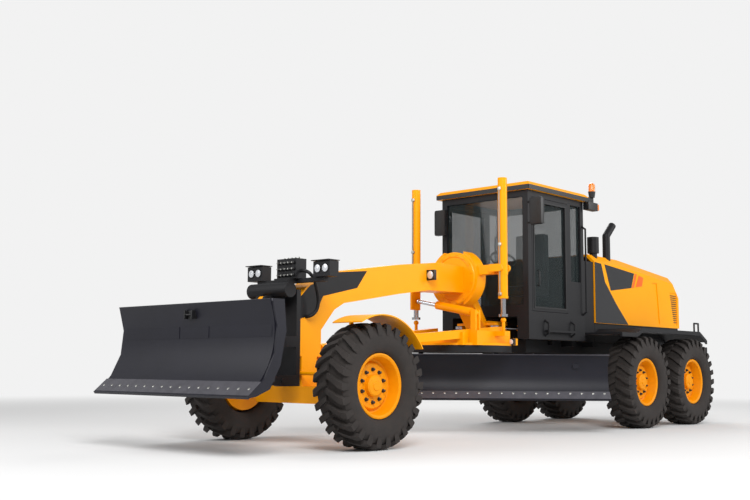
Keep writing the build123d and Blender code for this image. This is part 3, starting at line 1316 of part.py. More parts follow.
# Each tube is a row of points: mirror arms, the rear handrails and the grab tubes at the steps.
CAB_TUBES = (
    ((CAB_FRONT_X - 20, half - 20, 3150), (CAB_FRONT_X + 80, half + 200, 3140)),
    ((CAB_FRONT_X - 20, half - 20, 2860), (CAB_FRONT_X + 80, half + 200, 2860)),
    ((CAB_FRONT_X - 20, -half + 20, 3120), (CAB_FRONT_X + 130, -half + 80, 3110)),
    ((CAB_FRONT_X - 20, -half + 20, 2830), (CAB_FRONT_X + 130, -half + 80, 2830)),
    *(
        (
            (x, side * (half - 10), z0),
            (x, side * RAIL_OUT, z0 + RAIL_RISE),
            (x, side * RAIL_OUT, z1 - RAIL_RISE),
            (x, side * (half - 10), z1),
        )
        for side in (1, -1)
        for x, z0, z1 in HANDRAILS
    ),
)
with BuildPart() as cab_shell:
    block(CAB_REAR_X, CAB_FRONT_X, -half, half, CAB_FLOOR - FLOOR_T, CAB_TOP)
    block(
        CAB_REAR_X + CAB_WALL,
        CAB_FRONT_X - CAB_WALL,
        -half + CAB_WALL,
        half - CAB_WALL,
        CAB_FLOOR,
        CAB_TOP,
        Mode.SUBTRACT,
    )
    for cut in CUTS:
        block(*cut, Mode.SUBTRACT)
    for side in (1, -1):
        block(CAB_REAR_X, CAB_FRONT_X, side * SKIRT_IN, side * half, SKIRT_Z, CAB_FLOOR - FLOOR_T)
    block(CAB_REAR_X, CAB_REAR_X + 120, -SKIRT_IN, SKIRT_IN, FRAME_Z1, CAB_FLOOR - FLOOR_T)
    for points in CAB_TUBES:
        for start, end in zip(points, points[1:]):
            tube_between(start, end, CAB_TUBE_R)
        for bend in points[1:-1]:
            with Locations(bend):
                Sphere(CAB_TUBE_R)
    for side in (1, -1):
        block(
            *STEP_X,
            side * (RAIL_OUT - STEP_W),
            side * (RAIL_OUT + CAB_TUBE_R),
            STEP_Z,
            STEP_Z + 2 * CAB_TUBE_R,
        )
    for x, y, z in MIRRORS:
        block(
            x - MIRROR[0] / 2,
            x + MIRROR[0] / 2,
            y - MIRROR[1] / 2,
            y + MIRROR[1] / 2,
            z - MIRROR[2] / 2,
            z + MIRROR[2] / 2,
        )
save(cab_shell.part, "cab_shell")
with BuildPart() as cab_roof:
    block(
        CAB_REAR_X - ROOF_OVER,
        CAB_FRONT_X + ROOF_OVER,
        -half - ROOF_OVER,
        half + ROOF_OVER,
        CAB_TOP,
        CAB_TOP + ROOF_T,
    )
    chamfer(cab_roof.faces().sort_by(Axis.Z)[-1].edges(), 40)
save(cab_roof.part, "cab_roof")
BEACON_X = CAB_REAR_X - 130
BEACON_Y = half + 50
BEACON_R = 50
BEACON_Z0 = CAB_TOP + 80
BEACON_Z1 = CAB_TOP + 300
SIDE_LAMP_L = 310
with BuildPart() as beacon:
    block(
        BEACON_X - BEACON_R,
        CAB_REAR_X - ROOF_OVER,
        BEACON_Y - BEACON_R,
        BEACON_Y + BEACON_R,
        CAB_TOP + 30,
        BEACON_Z0,
    )
    block(
        BEACON_X - BEACON_R,
        BEACON_X + BEACON_R,
        BEACON_Y - BEACON_R,
        BEACON_Y + BEACON_R,
        CAB_TOP - 120,
        BEACON_Z0,
    )
    block(CAB_REAR_X - SIDE_LAMP_L, CAB_REAR_X, half - 60, BEACON_Y - 1, CAB_TOP - 130, CAB_TOP - 10)
    tube_between((BEACON_X, BEACON_Y, BEACON_Z0 - 1), (BEACON_X, BEACON_Y, BEACON_Z1), BEACON_R)
save(beacon.part, "beacon")
with BuildPart() as cab_glass:
    for x0, x1, y0, y1, z0, z1 in CUTS[:2]:
        middle = (x0 + x1) / 2
        block(middle - GLASS_T / 2, middle + GLASS_T / 2, y0, y1, z0, z1)
    for side in (1, -1):
        x0, x1, _, _, z0, z1 = CUTS[2]
        middle = side * (half - CAB_WALL / 2)
        block(x0, x1, middle - GLASS_T / 2, middle + GLASS_T / 2, z0, z1)
save(cab_glass.part, "cab_glass")
DOOR_FRAME = 60
for side_name, side in (("left", 1), ("right", -1)):
    limits = (DOOR_REAR_X + RUN, DOOR_FRONT_X - GAP, side * (half - CAB_WALL), side * half)
    inside = (limits[0] + DOOR_FRAME, limits[1] - DOOR_FRAME)
    with BuildPart() as door:
        block(*limits, DOOR_Z0 + GAP, DOOR_Z1 - GAP)
        block(
            *inside, *limits[2:], DOOR_Z0 + GAP + DOOR_FRAME, DOOR_Z1 - GAP - DOOR_FRAME, Mode.SUBTRACT
        )
    save(door.part, "door_" + side_name)
    with BuildPart() as pane:
        middle = side * (half - CAB_WALL / 2)
        block(
            *inside,
            middle - GLASS_T / 2,
            middle + GLASS_T / 2,
            DOOR_Z0 + GAP + DOOR_FRAME,
            DOOR_Z1 - GAP - DOOR_FRAME,
        )
    save(pane.part, "door_glass_" + side_name)
SEAT_X = CAB_FRONT_X - 980
# The seat's post, cushion, back and head rest. Columns: low x, high x, half width, low z, high z.
SEAT_BLOCKS = (
    (-200, 200, 180, 0, 380),
    (-250, 260, 250, 380, 500),
    (-330, -220, 240, 380, 1080),
    (-320, -230, 130, 1080, 1250),
)
with BuildPart() as seat:
    for x0, x1, half_width, z0, z1 in SEAT_BLOCKS:
        block(SEAT_X + x0, SEAT_X + x1, -half_width, half_width, CAB_FLOOR + z0, CAB_FLOOR + z1)
save(seat.part, "seat")
COLUMN_X = CAB_FRONT_X - 350
COLUMN_H = 650
COLUMN_LEAN = 120
WHEEL_H = 800
WHEEL_R = 200
WHEEL_GRIP = 25
WHEEL_SPOKE = 34
with BuildPart() as console:
    hub = (COLUMN_X - COLUMN_LEAN, 0, CAB_FLOOR + WHEEL_H)
    block(COLUMN_X - 60, COLUMN_X + 100, -110, 110, CAB_FLOOR, CAB_FLOOR + COLUMN_H)
    tube_between((COLUMN_X, 0, CAB_FLOOR + COLUMN_H - 50), hub, 35)
    with BuildSketch(place(*hub, (hub[0] - COLUMN_X, 0, WHEEL_R))):
        Circle(WHEEL_R)
        Circle(WHEEL_R - WHEEL_GRIP, mode=Mode.SUBTRACT)
        Rectangle(2 * WHEEL_R - WHEEL_GRIP, WHEEL_SPOKE)
    extrude(amount=WHEEL_GRIP)
save(console.part, "console")

# Platforms over the tandem wheels, each a bent plate with a rail on its outer edge and a handle at its rear.
# Columns: x, z of the upper face.
WALKWAY = (
    (AXLE_X - 5140, 1395),
    (AXLE_X - 5600, 1395),
    (AXLE_X - 5760, 1470),
    (AXLE_X - 7690, 1470),
    (AXLE_X - 7950, 1335),
)
WALK_RAIL_H = 60
HANDLE_R = 14
HANDLE_H = 130
HANDLE_L = 150
with BuildPart() as platforms:
    lower = [(x, z - PLATFORM_T) for x, z in reversed(WALKWAY)]
    rail = [(x, z - WALK_RAIL_H) for x, z in reversed(WALKWAY)]
    handle_x, handle_z = WALKWAY[3]
    handle_y = PLATFORM_Y - 2 * HANDLE_R
    for side in (1, -1):
        side_profile([*WALKWAY, *lower], PLATFORM_Y - SILL_Y, side * (PLATFORM_Y + SILL_Y) / 2)
        side_profile([*WALKWAY, *rail], PLATFORM_T, side * (PLATFORM_Y - PLATFORM_T / 2))
        corners = [
            (handle_x, side * handle_y, handle_z - PLATFORM_T),
            (handle_x, side * handle_y, handle_z + HANDLE_H),
            (handle_x + HANDLE_L, side * handle_y, handle_z + HANDLE_H),
            (handle_x + HANDLE_L, side * handle_y, handle_z - PLATFORM_T),
        ]
        for start, end in zip(corners, corners[1:]):
            tube_between(start, end, HANDLE_R)
        with Locations(*corners[1:3]):
            Sphere(HANDLE_R)
save(platforms.part, "platforms")
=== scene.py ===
import json
from math import atan2, cos, pi, radians, sin

import bmesh
import bpy
from mathutils import Matrix, Vector


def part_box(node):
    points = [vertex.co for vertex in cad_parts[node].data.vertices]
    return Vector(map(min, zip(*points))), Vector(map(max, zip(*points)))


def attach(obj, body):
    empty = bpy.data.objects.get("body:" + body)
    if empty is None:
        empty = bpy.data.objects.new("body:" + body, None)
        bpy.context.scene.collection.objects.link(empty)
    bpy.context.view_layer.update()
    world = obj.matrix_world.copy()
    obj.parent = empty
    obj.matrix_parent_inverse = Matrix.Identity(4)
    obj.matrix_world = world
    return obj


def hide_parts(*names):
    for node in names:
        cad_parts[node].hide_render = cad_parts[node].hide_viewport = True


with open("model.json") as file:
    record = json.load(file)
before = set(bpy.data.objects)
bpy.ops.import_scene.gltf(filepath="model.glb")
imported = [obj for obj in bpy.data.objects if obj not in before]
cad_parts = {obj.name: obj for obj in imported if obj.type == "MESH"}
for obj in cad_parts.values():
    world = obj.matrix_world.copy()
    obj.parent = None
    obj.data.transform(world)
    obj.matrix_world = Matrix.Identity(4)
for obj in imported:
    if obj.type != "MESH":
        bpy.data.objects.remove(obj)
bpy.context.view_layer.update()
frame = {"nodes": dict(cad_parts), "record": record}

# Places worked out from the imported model, in metres.
FRONT_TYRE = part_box("tyre_front_left")
TYRE_R = (FRONT_TYRE[1].z - FRONT_TYRE[0].z) / 2
TYRE_W = FRONT_TYRE[1].y - FRONT_TYRE[0].y
AXLE_X = (FRONT_TYRE[0].x + FRONT_TYRE[1].x) / 2
RIM_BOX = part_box("rim_front_left")
RIM_R = (RIM_BOX[1].z - RIM_BOX[0].z) / 2


def mid(node):
    """Centre of a CAD node's box."""
    low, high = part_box(node)
    return (low + high) / 2


# Materials.
def linear(code):
    """sRGB hex colour as linear red, green, blue and alpha."""
    channels = [int(code[i:i + 2], 16) / 255 for i in (0, 2, 4)]
    return [c / 12.92 if c <= 0.04045 else ((c + 0.055) / 1.055) ** 2.4 for c in channels] + [1.0]


def add_node(tree, kind, inputs, **settings):
    """Add a node with its settings, and set or link each named input."""
    node = tree.nodes.new(kind)
    for key, value in settings.items():
        setattr(node, key, value)
    for key, value in inputs.items():
        if isinstance(value, bpy.types.NodeSocket):
            tree.links.new(value, node.inputs[key])
        else:
            node.inputs[key].default_value = value
    return node


def surface(name, light, dark, patch, grain, relief, rough, **shader):
    """Material with two close tones in soft patches, and a fine grain in the relief; sizes in metres."""
    material = bpy.data.materials.new(name)
    material.use_nodes = True
    tree = material.node_tree
    main = tree.nodes["Principled BSDF"]
    place = add_node(tree, "ShaderNodeTexCoord", {}).outputs["Object"]
    cloud = add_node(
        tree, "ShaderNodeTexNoise", {"Vector": place, "Scale": 1 / patch, "Detail": 4.0, "Roughness": 0.6}
    ).outputs["Fac"]
    tone = add_node(
        tree,
        "ShaderNodeMix",
        {"Factor": cloud, "A": linear(dark), "B": linear(light)},
        data_type="RGBA",
    )
    tree.links.new(tone.outputs["Result"], main.inputs["Base Color"])
    fine = add_node(
        tree, "ShaderNodeTexNoise", {"Vector": place, "Scale": 1 / grain, "Detail": 2.0}
    ).outputs["Fac"]
    sheen = add_node(
        tree, "ShaderNodeMapRange", {"Value": fine, "To Min": rough * 0.85, "To Max": min(1.0, rough * 1.2)}
    ).outputs["Result"]
    tree.links.new(sheen, main.inputs["Roughness"])
    bump = add_node(tree, "ShaderNodeBump", {"Height": fine, "Strength": 0.25, "Distance": relief})
    tree.links.new(bump.outputs["Normal"], main.inputs["Normal"])
    for key, value in shader.items():
        main.inputs[key.replace("_", " ")].default_value = value
    return material


# Baked enamel on steel plate: glossy, with faint orange peel.
yellow_enamel = surface(
    "yellow_enamel", "FFA800", "F89E00", 0.5, 0.006, 0.0004, 0.38, Specular_IOR_Level=0.16, Coat_Weight=0.04
)
# The same enamel on cast and rolled wheel parts, less glossy, with painted shade: both of its tones are
# darker than the body's enamel.
wheel_enamel_painted_shade = surface("wheel_enamel_painted_shade", "F09800", "DC8800", 0.2, 0.005, 0.0005, 0.48, Specular_IOR_Level=0.15)
# Charcoal powder coat on plate and castings.
charcoal_coat = surface(
    "charcoal_powder_coat", "1C1C1F", "141416", 0.4, 0.004, 0.0006, 0.5, Specular_IOR_Level=0.25
)
# Dark glossy film on the hood and the frame.
charcoal_gloss = surface("charcoal_film", "202125", "17181B", 0.5, 0.01, 0.0001, 0.22, Coat_Weight=0.4)
# Orange marking film.
orange_film = surface("orange_film", "F06A10", "E86008", 0.3, 0.01, 0.0001, 0.3)
# Painted blade steel: nearly black, with a slight blue cast.
blade_coat = surface("blade_paint", "1E1E28", "15151C", 0.35, 0.006, 0.0006, 0.42, Specular_IOR_Level=0.25)
# Ground wear steel of the cutting edges.
wear_steel = surface("wear_steel", "6E6D74", "4B4A50", 0.12, 0.004, 0.0005, 0.42, Metallic=0.6)
# Natural rubber tread with dust in it.
tyre_rubber = surface("tyre_rubber", "312A27", "1B1816", 0.12, 0.004, 0.0012, 0.85)
# Hard chrome on piston rods.
hard_chrome = surface("hard_chrome", "D8D8DC", "C6C6CC", 0.3, 0.01, 0.0001, 0.14, Metallic=1.0)
# Moulded ABS, satin black.
black_abs = surface("black_abs", "121214", "0C0C0E", 0.3, 0.003, 0.0003, 0.45)
# Woven seat cloth.
seat_cloth = surface("seat_cloth", "2C2D31", "1E1F22", 0.05, 0.003, 0.001, 0.9, Sheen_Weight=0.3)
# Zinc plated fasteners.
zinc_plate = surface("zinc_plate", "B9B9B4", "9C9C98", 0.05, 0.004, 0.0002, 0.35, Metallic=0.9)
# Rubber hose and grommets.
hose_rubber = surface("hose_rubber", "101012", "0B0B0D", 0.1, 0.003, 0.0003, 0.6)
# Pressed steel of lamp bowls behind clear lenses.
lamp_lens = surface("lamp_lens", "E9EBEE", "C9CCD2", 0.03, 0.01, 0.0006, 0.12, Metallic=0.3)
# Amber polycarbonate.
amber_lens = surface("amber_lens", "F08A10", "D96A00", 0.05, 0.01, 0.0003, 0.2, Coat_Weight=0.5)
# Red polycarbonate of the tail lamps.
red_lens = surface("red_lens", "B31414", "8E0C0C", 0.05, 0.01, 0.0003, 0.2, Coat_Weight=0.5)

# Tinted safety glass: see-through, with a dark green-grey cast and clear reflections.
tinted_glass = bpy.data.materials.new("tinted_glass")
tinted_glass.use_nodes = True
glass = tinted_glass.node_tree.nodes["Principled BSDF"]
glass.inputs["Base Color"].default_value = linear("2A3334")
glass.inputs["Roughness"].default_value = 0.03
glass.inputs["Alpha"].default_value = 0.38
glass.inputs["IOR"].default_value = 1.5

NODE_FINISH = {
    "tyre_rubber": tyre_rubber,
    "rim_yellow": wheel_enamel_painted_shade,
    "yellow_paint": yellow_enamel,
    "dark_paint": charcoal_coat,
    "blade_grey": blade_coat,
    "chrome_rod": hard_chrome,
    "tinted_glass": tinted_glass,
    "seat_fabric": seat_cloth,
    "hose_rubber": hose_rubber,
}
for part in frame["record"]["subparts"]:
    piece_object = frame["nodes"][part["node"]]
    piece_object.data.materials.clear()
    piece_object.data.materials.append(NODE_FINISH[part["material_slot"]])


# Mesh tools: each adds one form to an open bmesh.
def add_box(bm, low, high, round_off=0.0):
    """Box between two corners, its edges rounded."""
    low, high = Vector(low), Vector(high)
    spot = Matrix.Translation((low + high) / 2) @ Matrix.Diagonal([*(abs(s) for s in high - low), 1.0])
    made = bmesh.ops.create_cube(bm, size=1.0, matrix=spot)
    if round_off:
        edges = list({e for v in made["verts"] for e in v.link_edges})
        bmesh.ops.bevel(bm, geom=edges, offset=round_off, segments=2, profile=0.7, affect="EDGES")


def add_ring(bm, centre, axis, profile, steps=48, closed=False):
    """Turned form: (radius, distance along axis) pairs swept round the axis, as a ring if it is closed."""
    turn = Vector(axis).normalized().to_track_quat("Z", "Y").to_matrix().to_4x4()
    spot = Matrix.Translation(centre) @ turn
    rings = []
    for k in range(steps):
        a = 2 * pi * k / steps
        rings.append([bm.verts.new(spot @ Vector((r * cos(a), r * sin(a), h))) for r, h in profile])
    for k in range(steps):
        here, there = rings[k], rings[(k + 1) % steps]
        for j in range(len(profile) - 1):
            bm.faces.new((here[j], there[j], there[j + 1], here[j + 1]))
        if closed:
            bm.faces.new((here[-1], there[-1], there[0], here[0]))
    for j in (0, -1):
        if profile[j][0] > 0 and not closed:
            loop = [ring[j] for ring in rings]
            bm.faces.new(loop if j else loop[::-1])


def add_tube(bm, path, radius, steps=12):
    """Round bar along a path of points, with mitred corners and flat ends."""
    path = [Vector(p) for p in path]
    rings = []
    side = None
    for k, point in enumerate(path):
        ahead = (path[min(k + 1, len(path) - 1)] - point).normalized()
        behind = (point - path[max(k - 1, 0)]).normalized()
        way = (ahead + behind).normalized()
        side = way.orthogonal().normalized() if side is None else (side - side.dot(way) * way).normalized()
        other = way.cross(side)
        stretch = 1 / max(0.5, way.dot(ahead if ahead.length else behind))
        ring = []
        for j in range(steps):
            a = 2 * pi * j / steps
            ring.append(bm.verts.new(point + radius * stretch * (cos(a) * side + sin(a) * other)))
        rings.append(ring)
    for here, there in zip(rings, rings[1:]):
        for j in range(steps):
            bm.faces.new((here[j], here[(j + 1) % steps], there[(j + 1) % steps], there[j]))
    bm.faces.new(rings[0][::-1])
    bm.faces.new(rings[-1])


def add_prism(bm, outline, axis, start, end):
    """Flat outline of (a, b) pairs pushed along X, Y or Z between two values."""
    def spot(a, b, c):
        return {"X": (c, a, b), "Y": (a, c, b), "Z": (a, b, c)}[axis]

    low = [bm.verts.new(spot(a, b, start)) for a, b in outline]
    high = [bm.verts.new(spot(a, b, end)) for a, b in outline]
    bm.faces.new(low)
    bm.faces.new(high[::-1])
    for k in range(len(outline)):
        n = (k + 1) % len(outline)
        bm.faces.new((low[k], high[k], high[n], low[n]))


def finish_piece(bm, name, body, material, sharp=35):
    """Close an open bmesh as a piece that rides on a body."""
    bmesh.ops.recalc_face_normals(bm, faces=bm.faces)
    mesh = bpy.data.meshes.new(name)
    bm.to_mesh(mesh)
    bm.free()
    mesh.materials.append(material)
    mesh.shade_smooth()
    mesh.set_sharp_from_angle(angle=radians(sharp))
    piece = bpy.data.objects.new(name, mesh)
    bpy.context.scene.collection.objects.link(piece)
    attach(piece, body)
    return piece


# Tyres: a rounded carcass with deep slanted lugs that run from the shoulder to the middle.
LUGS = 26
LUG_H = 0.042
CARCASS_R = TYRE_R - LUG_H
LUG_SWEEP = 0.17
ROOT_DEPTH = 0.02
ROOT_SPREAD = 0.008
WHEEL_STEPS = 72


def tyre(node, body):
    """Carcass and lugs of one tyre, in place of its plain CAD node."""
    centre = mid(node)
    half = TYRE_W / 2
    bm = bmesh.new()
    bead = 0.012
    profile = [
        (RIM_R + 0.002, -half + 0.075),
        (RIM_R + bead, -half + 0.05),
        (RIM_R + 0.05, -half + 0.022),
        (RIM_R + 0.12, -half + 0.006),
        (RIM_R + 0.18, -half + 0.004),
        (CARCASS_R - 0.075, -half + 0.01),
        (CARCASS_R - 0.03, -half + 0.03),
        (CARCASS_R - 0.006, -half + 0.075),
        (CARCASS_R, -half * 0.35),
    ]
    profile += [(r, -h) for r, h in reversed(profile)]
    add_ring(bm, centre, (0, 1, 0), profile, WHEEL_STEPS, closed=True)
    step = 2 * pi / LUGS
    # Columns: share of the half width, sweep share, half thickness in metres, outer radius.
    rows = (
        (0.02, 1.0, 0.026, TYRE_R - 0.004),
        (0.38, 0.68, 0.029, TYRE_R),
        (0.78, 0.2, 0.034, TYRE_R - 0.006),
        (0.985, 0.0, 0.036, TYRE_R - 0.03),
    )
    foot = (1.0, 0.0, 0.028, CARCASS_R - 0.075)
    for edge in (1, -1):
        for k in range(LUGS):
            base = k * step + (step / 2 if edge < 0 else 0)
            tops = []
            roots = []
            for share, sweep, thick, radius in rows + (foot,):
                y = edge * share * half
                angle = base + LUG_SWEEP * sweep
                for face, dig in ((tops, radius), (roots, min(radius, CARCASS_R) - ROOT_DEPTH)):
                    wide = thick if face is tops else thick + ROOT_SPREAD
                    for way in (-1, 1):
                        a = angle + way * wide / TYRE_R
                        face.append(bm.verts.new(centre + Vector((dig * cos(a), y, dig * sin(a)))))
            count = len(rows)
            for j in range(count):
                p, q = 2 * j, 2 * j + 2
                bm.faces.new((tops[p], tops[p + 1], tops[q + 1], tops[q]))
                bm.faces.new((tops[p], tops[q], roots[q], roots[p]))
                bm.faces.new((tops[p + 1], roots[p + 1], roots[q + 1], tops[q + 1]))
                bm.faces.new((roots[p], roots[q], roots[q + 1], roots[p + 1]))
            bm.faces.new((tops[0], roots[0], roots[1], tops[1]))
            bm.faces.new((tops[2 * count], tops[2 * count + 1], roots[2 * count + 1], roots[2 * count]))
    made = finish_piece(bm, node + "_tread", body, tyre_rubber)
    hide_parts(node)


# Rims: a dished wheel with a lock ring, a hub cap and wheel nuts in place of the plain CAD rim.
NUTS = 10
NUT_CIRCLE = 0.175
# Columns: radius, depth behind the outer face.
DISH = (
    (RIM_R - 0.001, 0.020),
    (RIM_R - 0.004, 0.004),
    (RIM_R - 0.020, 0.000),
    (RIM_R - 0.040, 0.012),
    (RIM_R - 0.052, 0.050),
    (RIM_R - 0.066, 0.135),
    (0.262, 0.150),
    (0.245, 0.118),
    (0.235, 0.112),
    (0.120, 0.112),
    (0.114, 0.070),
    (0.098, 0.058),
    (0.052, 0.054),
    (0.046, 0.046),
    (0.000, 0.046),
)
RIM_BACK = (RIM_R - 0.03, 0.30)
# Columns: radius, height.
NUT = ((0.024, 0.0), (0.024, 0.006), (0.016, 0.009), (0.016, 0.028), (0.009, 0.036), (0.0, 0.036))
NUT_DEPTH = 0.112
DISH_SHARP = 25
NUT_SHARP = 20
HEX = 6


def rim_detail(node, body, side):
    """Dish and wheel nuts of one rim, in place of its plain CAD node."""
    low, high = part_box(node)
    centre = mid(node)
    outer_y = high.y if side > 0 else low.y
    face = Vector((centre.x, outer_y, centre.z))
    out = Vector((0, side, 0))
    dish = bmesh.new()
    profile = [(RIM_BACK[0], -RIM_BACK[1])] + [(radius, -depth) for radius, depth in DISH]
    add_ring(dish, face, out, profile, WHEEL_STEPS)
    # The dish takes the wheel enamel, whose darker tones are painted shade.
    rim = finish_piece(dish, node + "_dish", body, wheel_enamel_painted_shade, DISH_SHARP)
    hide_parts(node)
    nuts = bmesh.new()
    for k in range(NUTS):
        a = 2 * pi * (k + 0.5) / NUTS
        seat = face - out * NUT_DEPTH + Vector((cos(a), 0, sin(a))) * NUT_CIRCLE
        add_ring(nuts, seat, out, NUT, HEX)
    finish_piece(nuts, node + "_nuts", body, black_abs, NUT_SHARP)


for name in ("front", "middle", "rear"):
    for side_name, side in (("left", 1), ("right", -1)):
        wheel = name + "_" + side_name
        tyre("tyre_" + wheel, "wheel_" + wheel)
        rim_detail("rim_" + wheel, "wheel_" + wheel, side)


# Details: every place below is measured from the front axle, forward, left and up, in metres.
def at(x, y, z):
    """Point measured from the front axle."""
    return Vector((AXLE_X + x, y, z))


def plate(name, outline, y, thick, body, material):
    """Flat plate on both sides of the machine, its outline given as (forward, up) pairs."""
    bm = bmesh.new()
    for side in (1, -1):
        add_prism(bm, [(AXLE_X + x, z) for x, z in outline], "Y", side * y, side * (y + thick))
    finish_piece(bm, name, body, material)


# Front hose from the valve block to the fitting on the frame's nose.
HOSE_R = 0.02
HOSE_PATH = (
    (0.140, 0.160, 1.960),
    (0.140, 0.250, 1.960),
    (0.080, 0.305, 1.880),
    (0.030, 0.300, 1.760),
    (-0.020, 0.285, 1.640),
    (-0.020, 0.270, 1.530),
    (0.020, 0.245, 1.465),
    (0.060, 0.205, 1.440),
    (0.060, 0.165, 1.440),
)
hose_curve = bpy.data.curves.new("front_hose_line", "CURVE")
hose_curve.dimensions = "3D"
hose_curve.bevel_depth = HOSE_R
hose_curve.bevel_resolution = 5
hose_line = hose_curve.splines.new("NURBS")
hose_line.points.add(len(HOSE_PATH) - 1)
for point, spot in zip(hose_line.points, HOSE_PATH):
    point.co = (*at(*spot), 1.0)
hose_line.order_u = 3
hose_line.use_endpoint_u = True
hose_curve.materials.append(hose_rubber)
hose = bpy.data.objects.new("front_hose_cord", hose_curve)
bpy.context.scene.collection.objects.link(hose)
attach(hose, "front")
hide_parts("front_hose")

# Seat: a stuffed cushion and back with rounded edges on a dark pedestal.
SEAT_SOFT = 0.045
SEAT_PAN = 0.30
CUSHION_T = 0.15
BACK_T = 0.16
BACK_START = 0.12
PEDESTAL_IN = (0.12, 0.10)
PEDESTAL_FRONT = 0.08
PEDESTAL_LAP = 0.02
PEDESTAL_ROUND = 0.01
SEAT_SHARP = 60
seat_low, seat_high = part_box("seat")
pan_z = seat_low.z + SEAT_PAN
cushion = bmesh.new()
add_box(cushion, (seat_low.x, seat_low.y, pan_z), (seat_high.x, seat_high.y, pan_z + CUSHION_T), SEAT_SOFT)
add_box(
    cushion,
    (seat_low.x, seat_low.y, pan_z + BACK_START),
    (seat_low.x + BACK_T, seat_high.y, seat_high.z),
    SEAT_SOFT,
)
seat_pad = finish_piece(cushion, "seat_cushion", "root", seat_cloth, SEAT_SHARP)
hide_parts("seat")
pedestal = bmesh.new()
add_box(
    pedestal,
    seat_low + Vector((*PEDESTAL_IN, 0)),
    (seat_high.x - PEDESTAL_FRONT, seat_high.y - PEDESTAL_IN[1], pan_z + PEDESTAL_LAP),
    PEDESTAL_ROUND,
)
finish_piece(pedestal, "seat_pedestal", "root", black_abs)

# Headlamps: two bright lenses side by side on each box, in dark rims, with a flat visor over them.
LAMP_SPOT = (0.14, 0.556, 1.96)
LAMP_FACE = 0.07
LENS_OUT = 0.06
LENS_LIFT = 0.003
LENS_STEPS = 28
# Turned forms: radius, height.
LENS = ((0.045, 0.0), (0.042, 0.004), (0.0, 0.007))
LENS_RIM = ((0.045, 0.0), (0.052, 0.0), (0.050, 0.008), (0.045, 0.008))
# Visor from the lamp's centre: back, half width and underside, then front, half width and top.
VISOR = ((-0.08, 0.14, 0.085), (0.10, 0.14, 0.095))
VISOR_ROUND = 0.003
lens_bm = bmesh.new()
rim_bm = bmesh.new()
for side in (1, -1):
    x, y, z = LAMP_SPOT
    y *= side
    front = x + LAMP_FACE
    for out in (-LENS_OUT, LENS_OUT):
        add_ring(lens_bm, at(front + LENS_LIFT, y + out, z), (1, 0, 0), LENS, LENS_STEPS)
        add_ring(rim_bm, at(front, y + out, z), (1, 0, 0), LENS_RIM, LENS_STEPS, closed=True)
    (back_x, half_w, under), (fore_x, _, top) = VISOR
    add_box(
        rim_bm,
        at(x + back_x, y - half_w, z + under),
        at(x + fore_x, y + half_w, z + top),
        VISOR_ROUND,
    )
finish_piece(lens_bm, "headlamp_lenses", "front", lamp_lens)
finish_piece(rim_bm, "headlamp_rims", "front", black_abs)

# Valve block: rows of spool caps with hex plugs on its face, and a row of port fittings on its top.
VALVE_ROWS = (1.91, 1.98, 2.05)
VALVE_COLUMNS = (-0.12, -0.06, 0.0, 0.06, 0.12)
SPOOL_X = 0.215
PLUG_X = 0.245
PORT_X = 0.13
PORT_Z = 2.09
SPOOL_STEPS = 14
# Turned forms: radius, height.
SPOOL = ((0.020, 0.0), (0.020, 0.025), (0.014, 0.032), (0.0, 0.032))
PLUG = ((0.010, 0.0), (0.010, 0.014), (0.0, 0.014))
PORT = ((0.013, 0.0), (0.013, 0.03), (0.0, 0.03))
valves = bmesh.new()
fittings = bmesh.new()
for z in VALVE_ROWS:
    for y in VALVE_COLUMNS:
        add_ring(valves, at(SPOOL_X, y, z), (1, 0, 0), SPOOL, SPOOL_STEPS)
        add_ring(fittings, at(PLUG_X, y, z), (1, 0, 0), PLUG, HEX)
for y in VALVE_COLUMNS:
    add_ring(fittings, at(PORT_X, y, PORT_Z), (0, 0, 1), PORT, HEX)
finish_piece(valves, "valve_spools", "front", black_abs)
finish_piece(fittings, "valve_fittings", "front", zinc_plate)

# Dark patch along both sides of the gooseneck.
NECK_PATCH = (
    (0.215, 1.396),
    (0.029, 1.449),
    (-0.129, 1.547),
    (-0.208, 1.690),
    (-0.782, 1.818),
    (-0.957, 2.036),
    (-0.45, 1.985),
    (0.0, 1.80),
    (0.2, 1.62),
)
NECK_HALF = 0.165
PLATE_T = 0.003
plate("neck_patch", NECK_PATCH, NECK_HALF, PLATE_T, "front", charcoal_coat)

# Hood sides: the dark front panel, the blank label, an orange stripe and block, and the grille's slats.
HOOD_HALF = 0.58
HOOD_PLATES = (
    (
        "hood_panel",
        ((-5.645, 2.495), (-5.84, 2.48), (-5.95, 2.20), (-6.29, 1.87), (-6.66, 1.565), (-5.645, 1.565)),
        charcoal_gloss,
        "dark_paint",
    ),
    (
        "hood_label",
        ((-5.94, 2.48), (-6.88, 2.40), (-6.78, 2.16), (-6.12, 2.08)),
        charcoal_gloss,
        "dark_paint",
    ),
    (
        "hood_stripe",
        ((-6.91, 2.40), (-6.97, 2.39), (-6.87, 2.17), (-6.80, 2.16)),
        orange_film,
        "yellow_paint",
    ),
    (
        "hood_block",
        ((-7.04, 2.38), (-7.19, 2.35), (-7.14, 2.21), (-6.92, 2.18)),
        orange_film,
        "yellow_paint",
    ),
)
for name, outline, material, slot in HOOD_PLATES:
    plate(name, outline, HOOD_HALF, PLATE_T, "hood", material)
GRILLE_X = (-8.36, -8.13)
GRILLE_Z = (1.64, 2.13)
SLATS = 14
SLAT_HALF_T = 0.006
SLAT_Y = (HOOD_HALF - 0.015, HOOD_HALF - 0.003)
slats = bmesh.new()
for side in (1, -1):
    for k in range(SLATS):
        z = GRILLE_Z[0] + (GRILLE_Z[1] - GRILLE_Z[0]) * (k + 0.5) / SLATS
        add_box(
            slats,
            at(GRILLE_X[0], side * SLAT_Y[0], z - SLAT_HALF_T),
            at(GRILLE_X[1], side * SLAT_Y[1], z + SLAT_HALF_T),
        )
finish_piece(slats, "grille_slats", "hood", black_abs)

